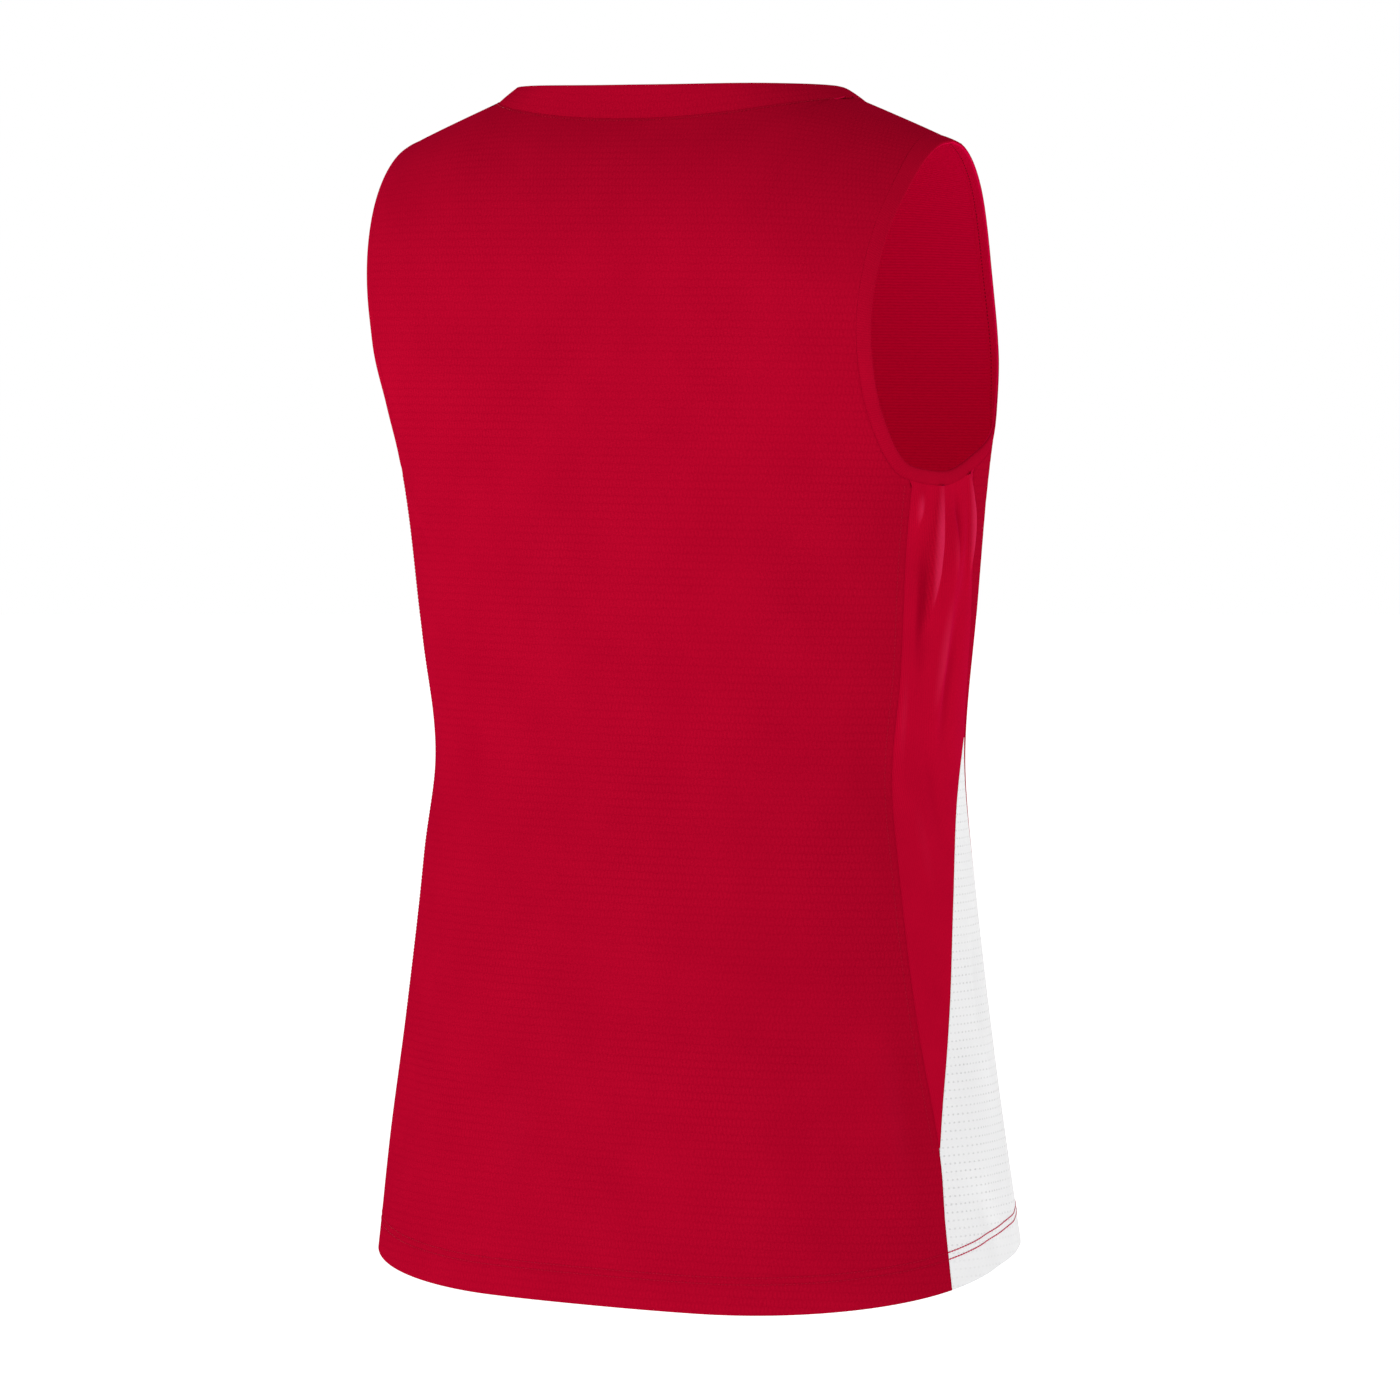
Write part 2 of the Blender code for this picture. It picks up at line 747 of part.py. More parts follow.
def finish(name, colour, roughness):
    material = bpy.data.materials.new(name)
    material.use_nodes = True
    shader = material.node_tree.nodes["Principled BSDF"]
    shader.inputs["Base Color"].default_value = (*colour, 1)
    shader.inputs["Roughness"].default_value = roughness
    shader.inputs["Metallic"].default_value = 0
    return material


def main():
    for obj in list(bpy.data.objects):
        bpy.data.objects.remove(obj)
    red = finish("red_mesh_knit", RED_KNIT, 0.8)
    smooth = finish("red_smooth_knit", RED_SMOOTH, 0.6)
    white = finish("white_mesh_knit", WHITE_KNIT, 0.8)
    back, front, side, wedge = back_grid(), front_grid(), side_grid(), wedge_grid()
    cloth("back_panel", [on_form(back), on_form(other_side(back))], KNIT_WALL, red)
    cloth("front_panel", [on_form(front), on_form(other_side(front))], KNIT_WALL, red)
    cloth("side_panel_left", [on_form(side)], KNIT_WALL, smooth)
    cloth("side_panel_right", [on_form(other_side(side))], KNIT_WALL, smooth)
    cloth("wedge_left", [on_form(wedge)], KNIT_WALL, white)
    cloth("wedge_right", [on_form(other_side(wedge))], KNIT_WALL, white)
    arm_band, neck_band = arm_band_strip(), neck_band_strip()
    cloth("neck_band", [neck_band, flipped(neck_band)], BAND_WALL, red)
    cloth("armhole_band_left", [arm_band], BAND_WALL, red)
    cloth("armhole_band_right", [flipped(arm_band)], BAND_WALL, red)


main()
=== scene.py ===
"""The looks of a sleeveless basketball jersey, filled out as if worn, with no wearer inside.

Each pattern piece is a thin shell of cloth on the form of its solid. A spot on that form is named
by its turn, in degrees round the body from the centre back, and its lift, which is its height up
to where the cloth rolls over the shoulder and from there on grows with the cloth's own length.
Lengths are in millimetres until a mesh is made, apart from those that a panel of the add-on shows,
which are in metres. +Z is up, the front faces -Y, the wearer's left is +X.
"""

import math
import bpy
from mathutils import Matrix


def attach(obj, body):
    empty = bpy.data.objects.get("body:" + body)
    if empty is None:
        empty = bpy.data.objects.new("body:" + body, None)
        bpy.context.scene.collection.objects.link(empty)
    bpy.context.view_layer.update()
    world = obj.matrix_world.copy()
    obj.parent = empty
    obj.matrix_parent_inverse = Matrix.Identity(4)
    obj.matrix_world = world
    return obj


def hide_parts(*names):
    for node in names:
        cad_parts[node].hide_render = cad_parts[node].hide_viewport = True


bl_info = {
    "name": "Basketball Jersey",
    "version": (1, 0, 0),
    "blender": (4, 5, 0),
    "location": "View3D > Sidebar > Jersey",
    "description": "Makes the cloth, the bands and the stitching of a mesh knit basketball jersey",
    "category": "Add Mesh",
}

from collections import namedtuple

import bmesh
import bpy
import numpy as np
from bpy.props import FloatProperty, FloatVectorProperty, PointerProperty
from mathutils import Vector

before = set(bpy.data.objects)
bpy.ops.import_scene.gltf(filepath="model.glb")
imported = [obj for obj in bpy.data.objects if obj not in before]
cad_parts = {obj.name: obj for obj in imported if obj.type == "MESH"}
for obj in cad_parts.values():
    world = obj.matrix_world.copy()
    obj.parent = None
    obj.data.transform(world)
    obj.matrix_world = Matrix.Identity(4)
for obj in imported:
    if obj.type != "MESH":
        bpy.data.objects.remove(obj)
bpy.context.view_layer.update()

MM = 0.001


def rows_of(columns, *rows):
    """A short table with named columns."""
    row = namedtuple("Row", columns)
    return [row(*values) for values in rows]


SEAM_GAP = 0.1  # clear space between pieces that are sewn together
HALF_GAP = SEAM_GAP / 2
TIP = 1.0  # how wide a pointed piece is where its point is cut off

# Shoulders
NECK_POINT = 126  # from the centre plane to where the neck meets the shoulder seam
NECK_POINT_HEIGHT = 17
SHOULDER_SLOPE = 0.381  # fall for each mm outwards
ASKEW = 0.02  # the garment hangs a little higher on its left: rise for each mm to the left
SPINE_RISE = 11  # how far the form's ridge would rise at the centre plane above the neck point
BACK_ROLL = 120  # height over which the back rolls over to the shoulder seam
FRONT_ROLL = 150

# Neck opening and bands
BACK_NECK_HEIGHT = 2
BACK_NECK_CURVE = 2.2  # power of the neckline's rise: the higher, the flatter at the centre
FRONT_NECK_DROP = 103
FRONT_NECK_CURVE = 1.5
FRONT_NECK_ROUND = 0.75  # share of a plain circle in the neckline's width
BACK_BAND = 22  # width of the neck band at the centre back
FRONT_BAND = 15.5
BACK_STAND = 40  # degrees that the neck band stands up off the cloth's own direction
SIDE_STAND = 12
FRONT_STAND = 8
ARM_BAND = 9.0

# Hem
HEM_BACK = -742
HEM_SIDE_RISE = 42
HEM_TURN_LOW = 19
HEM_TURN_HIGH = 135

# The torso's outline at each height: half its width, its reach back and front of the arms' plane,
# and how square it is (2 is an ellipse)
SECTIONS = rows_of(
    "height half_width back front square",
    (-742, 223, 117, 162, 2.3),
    (-600, 203, 108, 147, 2.3),
    (-480, 188, 99, 138, 2.3),
    (-398, 182, 94, 131, 2.3),
    (-300, 191, 100, 134, 2.3),
    (-219, 199, 107, 134, 2.4),
    (-180, 202, 109, 126, 2.9),
    (-140, 203, 110, 119, 3.8),
    (-60, 205, 110, 110, 4.5),
    (40, 205, 108, 104, 5.0),
)

# Sewn lines on the left half: at each height, the turn where the line crosses it
BACK_SEAM = rows_of(
    "height turn",
    (-738, 69.3), (-686, 69.6), (-641, 70.4), (-563, 67.5), (-507, 66.2),
    (-436, 65.4), (-351, 66.3), (-287, 65.5), (-196, 66.0),
)
WEDGE_BACK_SEAM = rows_of(
    "height turn",
    (-641, 70.4), (-607, 73.8), (-546, 81.3), (-500, 86.6), (-454, 92.6),
    (-423, 97.6), (-383, 106.5),
)
WEDGE_FRONT_SEAM = rows_of(
    "height turn",
    (-738, 126.0), (-636, 121.5), (-546, 116.5), (-441, 110.5), (-383, 106.5),
)
FRONT_SEAM = rows_of(
    "height turn",
    (-383, 106.5), (-336, 103.5), (-296, 100.5), (-260, 98.2), (-232, 95.6),
    (-196, 94.7),
)
WEDGE_FOOT = -641  # height where the smooth side piece runs out
WEDGE_TOP = -383  # height of the wedge's point

# The armhole's edge, from the shoulder down the back, under the arm and up the front
ARMHOLE = rows_of(
    "turn height",
    (54.0, -10), (53.0, -36), (50.8, -71), (49.8, -111), (50.3, -141), (52.6, -166),
    (56.5, -188), (61.0, -205), (66.0, -213.5), (78.0, -216), (87.0, -211), (94.7, -205),
    (104.0, -198), (114.0, -188), (122.5, -173), (128.5, -151), (131.5, -121), (132.5, -91),
    (131.5, -61), (129.0, -34), (126.0, -10),
)
BACK_CORNER = 8  # row where the back seam reaches the armhole
FRONT_CORNER = 11
LAST_EDGE = len(ARMHOLE) - 1

# Broad soft folds and sharper creases: each runs from its top to its foot, bows aside by some mm
# half way, and fades out over its length and its width
FOLD_COLUMNS = "top_turn top_height foot_turn foot_height bow width depth"
FOLDS = rows_of(
    FOLD_COLUMNS,
    (88, -200, 80, -330, 0, 20, 4),
    (72, -225, 70, -300, 0, 12, -3),
    (58, -330, 66, -470, 0, 34, -3),
    (24, -420, 34, -720, 0, 34, 3),
    (46, -480, 52, -740, 0, 26, -3),
    (-20, -450, -28, -720, 0, 38, 3),
    (-48, -500, -50, -740, 0, 26, -3),
    (0, -470, 2, -730, 0, 30, -2),
    (-88, -205, -80, -330, 0, 20, 4),
    (-72, -225, -70, -300, 0, 12, -3),
    (-58, -330, -66, -470, 0, 34, -3),
    (84, -560, 88, -720, 0, 20, 3),
    (-84, -560, -88, -720, 0, 20, 3),
    (150, -430, 142, -690, 0, 34, 4),
    (-156, -450, -146, -690, 0, 34, 4),
    (172, -380, 178, -680, 0, 30, -3),
    (126, -230, 142, -380, 0, 24, 3),
    (-126, -230, -142, -380, 0, 24, 3),
)
# Besides pushing the cloth out and in, the creases' rise is painted as highlight on ridges and as
# shade in hollows
CREASES = rows_of(
    FOLD_COLUMNS,
    # Under the right arm: two curved ridges and the soft hollows beside them
    (-75.5, -194, -72, -345, -9, 4.2, 5.0),
    (-88.5, -196, -97, -300, -3, 4.2, 4.6),
    (-82, -214, -86, -300, -6, 6, -3.4),
    (-84, -236, -88, -300, 3, 9, 2.8),
    (-69, -222, -69.5, -258, 0, 4.5, 3.0),
    (-72.5, -236, -73.5, -372, 0, 9, -3.2),
    (-94, -206, -101, -262, 0, 4.5, -2.6),
    (-84, -262, -79, -400, -6, 10, 2.4),
    (-92, -280, -86, -420, 0, 11, -2.0),
    (-68, -310, -69, -430, 0, 6, 1.6),
    (-75, -350, -88, -480, 0, 12, -1.3),
    (-71, -380, -80, -520, 0, 13, 1.2),
    # Under the left arm the same kind, of other lengths
    (76, -216, 80, -300, -8, 7, 2.8),
    (88, -212, 100, -330, -6, 8, 3.4),
    (83, -222, 88, -296, 0, 8, -2.8),
    (97, -230, 108, -270, 0, 6, 1.6),
    (71, -262, 70, -330, 0, 9, -1.6),
    (90, -340, 76, -440, 0, 14, -1.5),
    # Where the left armhole meets the back
    (62, -222, 44, -262, 0, 7, 1.6),
    (60, -236, 40, -292, 0, 9, -1.4),
    # Soft slanting creases on the wedges and beside them
    (-92, -500, -104, -640, 6, 12, 1.6),
    (-104, -470, -90, -600, -6, 12, -1.5),
    (-78, -640, -92, -735, 0, 13, -1.6),
    (-108, -610, -98, -730, 0, 12, 1.4),
    (94, -490, 104, -650, 6, 12, 1.5),
    (106, -520, 90, -640, 0, 13, -1.5),
    (80, -650, 94, -735, 0, 12, -1.4),
    # Off the front of the armholes and across the chest
    (-121, -205, -156, -330, 8, 11, 3.4),
    (-114, -222, -144, -372, 0, 12, -3.2),
    (-134, -280, -118, -470, 4, 15, 2.4),
    (120, -202, 152, -345, -8, 11, 3.2),
    (112, -230, 138, -360, 0, 12, -3.0),
    (134, -300, 120, -480, -4, 15, 2.2),
    # Down the front to the hem, where they stay open
    (160, -400, 174, -1010, 8, 19, 3.4),
    (-176, -440, -168, -1040, -8, 22, -2.8),
    (-126, -430, -138, -1000, 5, 18, 2.8),
    (134, -480, 126, -1000, -5, 17, -2.6),
    (-150, -380, -156, -990, -7, 20, -2.6),
    (146, -440, 152, -1060, 6, 16, 2.4),
    # Faint upright waves of the back
    (12, -180, 10, -420, 6, 26, 1.2),
    (-14, -240, -12, -520, -6, 26, -1.2),
    (-34, -200, -38, -460, 0, 24, 1.0),
    (34, -260, 36, -520, 0, 24, -1.2),
    (-58, -500, -62, -730, 4, 16, 1.6),
    (-40, -560, -36, -735, 0, 18, -1.2),
    (14, -540, 18, -738, 0, 20, 1.3),
    (60, -560, 62, -738, 0, 16, 1.4),
)

# Grid steps
MM_PER_DEGREE = 3.2  # the usual length of a degree of turn
RELAX_ROUNDS = 200
NECK_COLUMNS = 7
SHOULDER_COLUMNS = 5
HALF_COLUMNS = NECK_COLUMNS + SHOULDER_COLUMNS
SIDE_COLUMNS = 4
HEM_ROWS = 3
MIDDLE_ROWS = 7
UPPER_ROWS = 5
ARMHOLE_ROWS = 11

# Side seams show as a groove with painted shade in it up to the height SMOOTH_FROM, and lie flat
# from SMOOTH_TO on
SMOOTH_FROM = -165
SMOOTH_TO = -105
SMOOTH_REACH = 3
FAR_ABOVE_HEM = 100.0  # what a band, which has no hem, gives as its height above it

# How many of a sheet's own steps go into one grid step
PANEL_STEPS = 6
SIDE_STEPS = 10
BAND_STEPS = 10
JOINED = 1e-5  # points nearer to each other than this, in metres, are one
SHARP_ANGLE = 50  # degrees past which an edge of the cloth's wall looks sharp
BAND_ROWS = 8  # points up each side of a band's profile
FOLD_ROWS = 5
BAND_PUFF = 0.3  # how far a folded band swells, in mm
BAND_THICK = 2.1  # of a whole folded band
ALLOWANCE = 4.6  # how far a band's inner layer reaches past its seam


# ---------------------------------------------------------------- the form


def blend(table, at):
    """A table's columns after its first, at values of that first, on smooth curves through them."""
    rows = np.array(table, float)
    keys = rows[:, 0]
    at = np.clip(at, keys[0], keys[-1])
    low = np.clip(np.searchsorted(keys, at, side="right") - 1, 0, len(rows) - 2)
    before, start, end, after = (rows[np.clip(low + k, 0, len(rows) - 1)] for k in (-1, 0, 1, 2))
    span = (end - start)[..., :1]
    t = (at - start[..., 0])[..., None] / span
    leave = (end - before) / (end - before)[..., :1]
    arrive = (after - start) / (after - start)[..., :1]
    mixed = (
        start * (2 * t**3 - 3 * t**2 + 1)
        + leave * span * (t**3 - 2 * t**2 + t)
        + end * (3 * t**2 - 2 * t**3)
        + arrive * span * (t**3 - t**2)
    )
    return np.moveaxis(mixed[..., 1:], -1, 0)


def eased(t):
    t = np.clip(t, 0, 1)
    return t * t * (3 - 2 * t)


def ridge(across):
    """Height of the form's top line at a distance from the centre plane."""
    across = np.abs(across)
    t = np.minimum(across / NECK_POINT, 1)
    saddle = SPINE_RISE * (2 * t**3 - 3 * t**2 + 1) - SHOULDER_SLOPE * NECK_POINT * (t**3 - t**2)
    return NECK_POINT_HEIGHT + saddle - SHOULDER_SLOPE * np.maximum(across - NECK_POINT, 0)


def turn_at(across, height, front):
    """The turn where the torso's outline at a height lies a distance from the centre plane."""
    half_width, _, _, square = blend(SECTIONS, height)
    side = np.minimum(1, across / half_width)
    back = (1 - side**square) ** (1 / square)
    return np.degrees(np.arctan2(side, -back if front else back))


def roll_height(turn):
    return np.where(np.abs(turn) < 90, BACK_ROLL, FRONT_ROLL)


def ring(turn, height):
    """(across, fore and aft) of the torso's outline at a height."""
    half_width, back, front, square = blend(SECTIONS, height)
    side, aft = np.sin(np.radians(turn)), np.cos(np.radians(turn))
    reach = (np.abs(side) ** square + np.abs(aft) ** square) ** (-1 / square)
    return half_width * reach * side, (back - front) / 2 + (back + front) / 2 * reach * aft


def roll_start(turn, height):
    """Height where the cloth starts to roll over, above a place on the outline."""
    return ridge(ring(turn, height)[0]) - roll_height(turn)


def top_lift(turn):
    """The lift of the shoulder seam."""
    height = np.zeros_like(turn, float)
    for _ in range(4):
        height = ridge(ring(turn, height)[0])
    return roll_start(turn, height) + roll_height(turn) * math.pi / 2


def height_at(turn, lift):
    """(height, share of the full depth) of a spot."""
    roll = roll_height(turn)
    height = lift
    for _ in range(6):
        start = roll_start(turn, height)
        angle = np.maximum(0, lift - start) / roll
        height = np.where(lift < start, lift, start + roll * np.sin(np.minimum(angle, math.pi / 2)))
    return height, np.cos(angle)


def lift_at(turn, height):
    """The lift of the spot at a height: the way back from height_at."""
    start = roll_start(turn, height)
    roll = roll_height(turn)
    climb = np.clip((height - start) / roll, 0, 1)
    return np.where(height < start, height, start + roll * np.arcsin(climb))


def pushed(folds, turn, height):
    """How far folds push the cloth outwards, in mm."""
    push = np.zeros(np.broadcast(turn, height).shape)
    for fold in folds:
        along = (fold.top_height - height) / (fold.top_height - fold.foot_height)
        along = np.clip(along, 0, 1)
        centre = fold.top_turn + (fold.foot_turn - fold.top_turn) * along
        off = (turn - centre + 180) % 360 - 180
        off = off * MM_PER_DEGREE - fold.bow * np.sin(math.pi * along)
        push += fold.depth * np.exp(-((off / fold.width) ** 2)) * np.sin(math.pi * along) ** 2
    return push


def bare(spots):
    """Points of the form before any fold."""
    height, share = height_at(spots[..., 0], spots[..., 1])
    across, deep = ring(spots[..., 0], height)
    return np.stack([across, deep * share, height], axis=-1)


def unit(ways):
    return ways / np.linalg.norm(ways, axis=-1, keepdims=True)


def dots(a, b):
    return (a * b).sum(axis=-1)


def spans(spots, step=0.5):
    """The form's two slopes at a spot: along turn, for each degree, and along lift, for each mm."""
    turn, lift = spots[..., 0], spots[..., 1]
    spots = spots_of(turn, np.minimum(lift, top_lift(turn) - 4 * step))
    return [(bare(spots + way) - bare(spots - way)) / (2 * step) for way in step * np.eye(2)]


def outward(spots):
    by_turn, by_lift = spans(spots)
    return unit(np.cross(by_lift, by_turn))


def way_along(line, at, step, low, high):
    """The direction of a line of spots at places on it, which run from low to high."""
    before, after = (bare(line(np.clip(at + off, low, high))) for off in (-step, step))
    return unit(after - before)


def surface(spots, off_cloth=0.0):
    """(points on the cloth's outer face or a little off it, the ways out of the cloth), in mm."""
    points, out = bare(spots), outward(spots)
    push = pushed(FOLDS + CREASES, spots[..., 0], points[..., 2])
    return points + out * push[..., None] + out * off_cloth, out


def spots_of(turn, lift):
    turn, lift = np.broadcast_arrays(np.asarray(turn, float), np.asarray(lift, float))
    return np.stack([turn, lift], axis=-1)


def walk(spots, ways, distance):
    """The spots that lie a distance from others, in directions along the cloth."""
    by_turn, by_lift = spans(spots)
    a, b, c = dots(by_turn, by_turn), dots(by_turn, by_lift), dots(by_lift, by_lift)
    p, q = dots(by_turn, ways) * distance, dots(by_lift, ways) * distance
    size = a * c - b * b
    return spots + spots_of((p * c - q * b) / size, (q * a - p * b) / size)


def aside(spots, distance):
    """Spots moved some mm along the turn."""
    by_turn, _ = spans(spots)
    return spots + spots_of(distance / np.linalg.norm(by_turn, axis=-1), 0)


def hem_height(turn):
    share = (np.abs(turn) - HEM_TURN_LOW) / (HEM_TURN_HIGH - HEM_TURN_LOW)
    return HEM_BACK + HEM_SIDE_RISE * eased(share)


def hem_spots(turns, above=0.0):
    return spots_of(turns, hem_height(turns) + above)


def seam_spots(table, heights, shift=0.0):
    """Spots on a sewn line, moved some mm along the turn."""
    turns = blend(table, heights)[0]
    return aside(spots_of(turns, lift_at(turns, heights)), shift)


def hem_crossing(table):
    """Height where a sewn line reaches the hem."""
    height = np.array(float(HEM_BACK))
    for _ in range(5):
        height = hem_height(blend(table, height)[0])
    return height


def hem_turn(table, shift):
    """The turn where the edge beside a sewn line reaches the hem."""
    return seam_spots(table, hem_crossing(table), shift)[0]


def armhole_edge(rows):
    """Spots on the armhole's edge. A row counts down the table, and may be a fraction."""
    table = [(index, *edge) for index, edge in enumerate(ARMHOLE)]
    turn, height = blend(table, rows)
    top = top_lift(turn)
    at_seam = (rows <= 0) | (rows >= LAST_EDGE)
    return spots_of(turn, np.where(at_seam, top, np.minimum(top, lift_at(turn, height))))


def armhole_spots(rows, distance):
    """Spots at a distance outside the armhole's edge. At the shoulder they stay on the seam."""
    rows = np.atleast_1d(np.asarray(rows, float))
    spots = armhole_edge(rows)
    along = way_along(armhole_edge, rows, 0.1, 0, LAST_EDGE)
    away = unit(np.cross(outward(spots), along))
    moved = walk(spots, away, distance)
    moved[:, 1] = np.minimum(moved[:, 1], top_lift(spots[:, 0]))
    for end, row in ((0, 0), (-1, LAST_EDGE)):
        if rows[end] == row:
            across = bare(spots[end])[0] - distance / math.hypot(1, SHOULDER_SLOPE)
            turn = turn_at(across, ridge(across), front=row > 0)
            moved[end] = turn, top_lift(turn)
    return moved


def neckline(shares, front):
    """Spots on the neck seam: share 0 is the centre back, 1 the neck point, 2 the centre front."""
    shares = np.asarray(shares, float)
    angle = (2 - shares if front else shares) * math.pi / 2
    rise = np.sin(angle)
    if front:
        across = NECK_POINT * (FRONT_NECK_ROUND * rise + (1 - FRONT_NECK_ROUND) * rise**3)
        drop = np.clip(np.cos(angle), 0, 1) ** FRONT_NECK_CURVE
        height = NECK_POINT_HEIGHT - FRONT_NECK_DROP * drop
    else:
        across = NECK_POINT * rise
        height = BACK_NECK_HEIGHT + (NECK_POINT_HEIGHT - BACK_NECK_HEIGHT) * rise**BACK_NECK_CURVE
    turn = turn_at(across, height, front)
    at_seam = np.abs(shares - 1) < 1e-6
    return spots_of(turn, np.where(at_seam, top_lift(turn), lift_at(turn, height)))


# ---------------------------------------------------------------- the cut pieces


def coons(foot, top, inner, outer):
    """A grid of spots between four edges. foot and top take a column, inner and outer a row."""
    u = np.linspace(0, 1, len(foot))[None, :, None]
    v = np.linspace(0, 1, len(inner))[:, None, None]
    return (
        (1 - v) * foot + v * top + (1 - u) * inner[:, None] + u * outer[:, None]
        - (1 - u) * (1 - v) * foot[0] - u * (1 - v) * foot[-1]
        - (1 - u) * v * top[0] - u * v * top[-1]
    )


def relaxed(grid):
    """The grid with its inside spots moved until its lines run evenly and square to each other."""
    scale = np.array([MM_PER_DEGREE, 1.0])
    grid = grid * scale
    for _ in range(RELAX_ROUNDS):
        for j in range(1, grid.shape[0] - 1):
            for i in range(1, grid.shape[1] - 1):
                west, east = grid[j, i - 1], grid[j, i + 1]
                below, above = grid[j - 1, i], grid[j + 1, i]
                by_i, by_j = east - west, above - below
                a, b, c = by_j @ by_j, by_i @ by_j, by_i @ by_i
                twist = grid[j + 1, i + 1] - grid[j + 1, i - 1]
                twist += grid[j - 1, i - 1] - grid[j - 1, i + 1]
                drawn = a * (west + east) + c * (below + above)
                grid[j, i] = (drawn - b / 2 * twist) / (2 * (a + c))
    return grid / scale


def finer(values, steps):
    """Values on a smooth curve through others, with some steps where there was one."""
    table = np.column_stack([np.arange(len(values)), values.reshape(len(values), -1)])
    at = np.linspace(0, len(values) - 1, (len(values) - 1) * steps + 1)
    return np.moveaxis(blend(table, at), 0, -1).reshape(len(at), *values.shape[1:])


def chained(*stretches):
    """Stretches of spots joined end to end, each shared end once."""
    return np.concatenate([stretches[0]] + [stretch[1:] for stretch in stretches[1:]])


PANEL_OFFSET = ARM_BAND + HALF_GAP


def armpit_height(row):
    """Height where a sewn line meets the armhole seam."""
    turn, lift = armhole_spots(row, PANEL_OFFSET)[0]
    return height_at(turn, lift)[0]


def seam_chain(shift, steps, corner, *tables):
    """Spots up a piece's side edge to a corner of the armhole. The tables give its sewn line up to
    the side piece's foot, to the wedge's point and above, or None where the piece has no edge."""
    hem = hem_crossing(tables[0]) if tables[0] else None
    ends = (hem, WEDGE_FOOT, WEDGE_TOP, armpit_height(corner))
    stretches = zip(tables, ends, ends[1:], (HEM_ROWS, MIDDLE_ROWS, UPPER_ROWS))
    return chained(
        *(
            seam_spots(table, np.linspace(low, high, rows * steps + 1), shift)
            for table, low, high, rows in stretches
            if table
        )
    )


def spaced_like(edge, turn, start, end):
    """Spots on an upright line that keep another edge's own spacing."""
    share = (edge[:, 1] - edge[0, 1]) / (edge[-1, 1] - edge[0, 1])
    return spots_of(turn, start + (end - start) * share)


def under_seam(turns):
    """Spots just short of the shoulder seam."""
    return spots_of(turns, top_lift(turns) - HALF_GAP)


def back_grid(steps):
    """The left half of the back, from the centre line to the side."""
    neck = neckline(np.linspace(0, 1, NECK_COLUMNS * steps + 1), front=False) - (0, HALF_GAP)
    tip = armhole_spots(0, PANEL_OFFSET)[0]
    top = chained(neck, under_seam(np.linspace(neck[-1, 0], tip[0], SHOULDER_COLUMNS * steps + 1)))
    seam = seam_chain(-HALF_GAP, steps, BACK_CORNER, BACK_SEAM, BACK_SEAM, BACK_SEAM)
    foot = hem_spots(np.linspace(0, seam[0, 0], HALF_COLUMNS * steps + 1))
    armhole = armhole_spots(np.linspace(BACK_CORNER, 0, ARMHOLE_ROWS * steps + 1), PANEL_OFFSET)
    seam[-1] = aside(armhole[0], -HALF_GAP)
    outer = chained(seam, armhole)
    outer[-1] = top[-1]
    inner = spaced_like(outer, 0, foot[0, 1], top[0, 1])
    return coons(foot, top, inner, outer)


def front_edges(steps):
    """Foot, top, side and centre edges of the left half of the front. Above the centre line the
    last one is the neck seam."""
    tip = armhole_spots(LAST_EDGE, PANEL_OFFSET)[0]
    shares = np.linspace(2, 1, NECK_COLUMNS * steps + 1)
    seam_line = neckline(shares, front=True)
    along = way_along(lambda at: neckline(at, front=True), shares, 0.01, 1, 2)
    away = unit(np.cross(outward(seam_line), along))
    neck = walk(seam_line, away, HALF_GAP)
    neck[0] = seam_line[0] - (0, HALF_GAP)
    top = under_seam(np.linspace(tip[0], neck[-1, 0], HALF_COLUMNS * steps + 1))
    seam = seam_chain(HALF_GAP, steps, FRONT_CORNER, WEDGE_FRONT_SEAM, WEDGE_FRONT_SEAM, FRONT_SEAM)
    foot = hem_spots(np.linspace(seam[0, 0], 180, HALF_COLUMNS * steps + 1))
    armhole = armhole_spots(
        np.linspace(FRONT_CORNER, LAST_EDGE, ARMHOLE_ROWS * steps + 1), PANEL_OFFSET
    )
    seam[-1] = aside(armhole[0], HALF_GAP)
    side = chained(seam, armhole)
    side[-1] = top[0]
    to_neck = len(side) - NECK_COLUMNS * steps
    centre = chained(spaced_like(side[:to_neck], 180, foot[-1, 1], neck[0, 1]), neck)
    centre[-1] = top[-1]
    return foot, top, side, centre


def front_grid(steps):
    """The left half of the front, from the side to the centre line and the neck seam."""
    grid = finer(relaxed(coons(*front_edges(1))), steps)
    grid = finer(grid.swapaxes(0, 1), steps).swapaxes(0, 1)
    foot, top, side, centre = front_edges(steps)
    return grid + coons(foot - grid[0], top - grid[-1], side - grid[:, 0], centre - grid[:, -1])


def side_grid(steps):
    """The smooth piece under the arm, which narrows to a point above the hem."""
    back = seam_chain(HALF_GAP, steps, BACK_CORNER, None, BACK_SEAM, BACK_SEAM)
    front = seam_chain(-HALF_GAP, steps, FRONT_CORNER, None, WEDGE_BACK_SEAM, FRONT_SEAM)
    rows = np.linspace(BACK_CORNER, FRONT_CORNER, SIDE_COLUMNS * steps + 1)
    top = armhole_spots(rows, PANEL_OFFSET)
    top[0], top[-1] = aside(top[0], HALF_GAP), aside(top[-1], -HALF_GAP)
    back, front = point_cut(back, front)
    back[-1], front[-1] = top[0], top[-1]
    foot = np.linspace(back[0], front[0], SIDE_COLUMNS * steps + 1)
    return coons(foot, top, back, front)


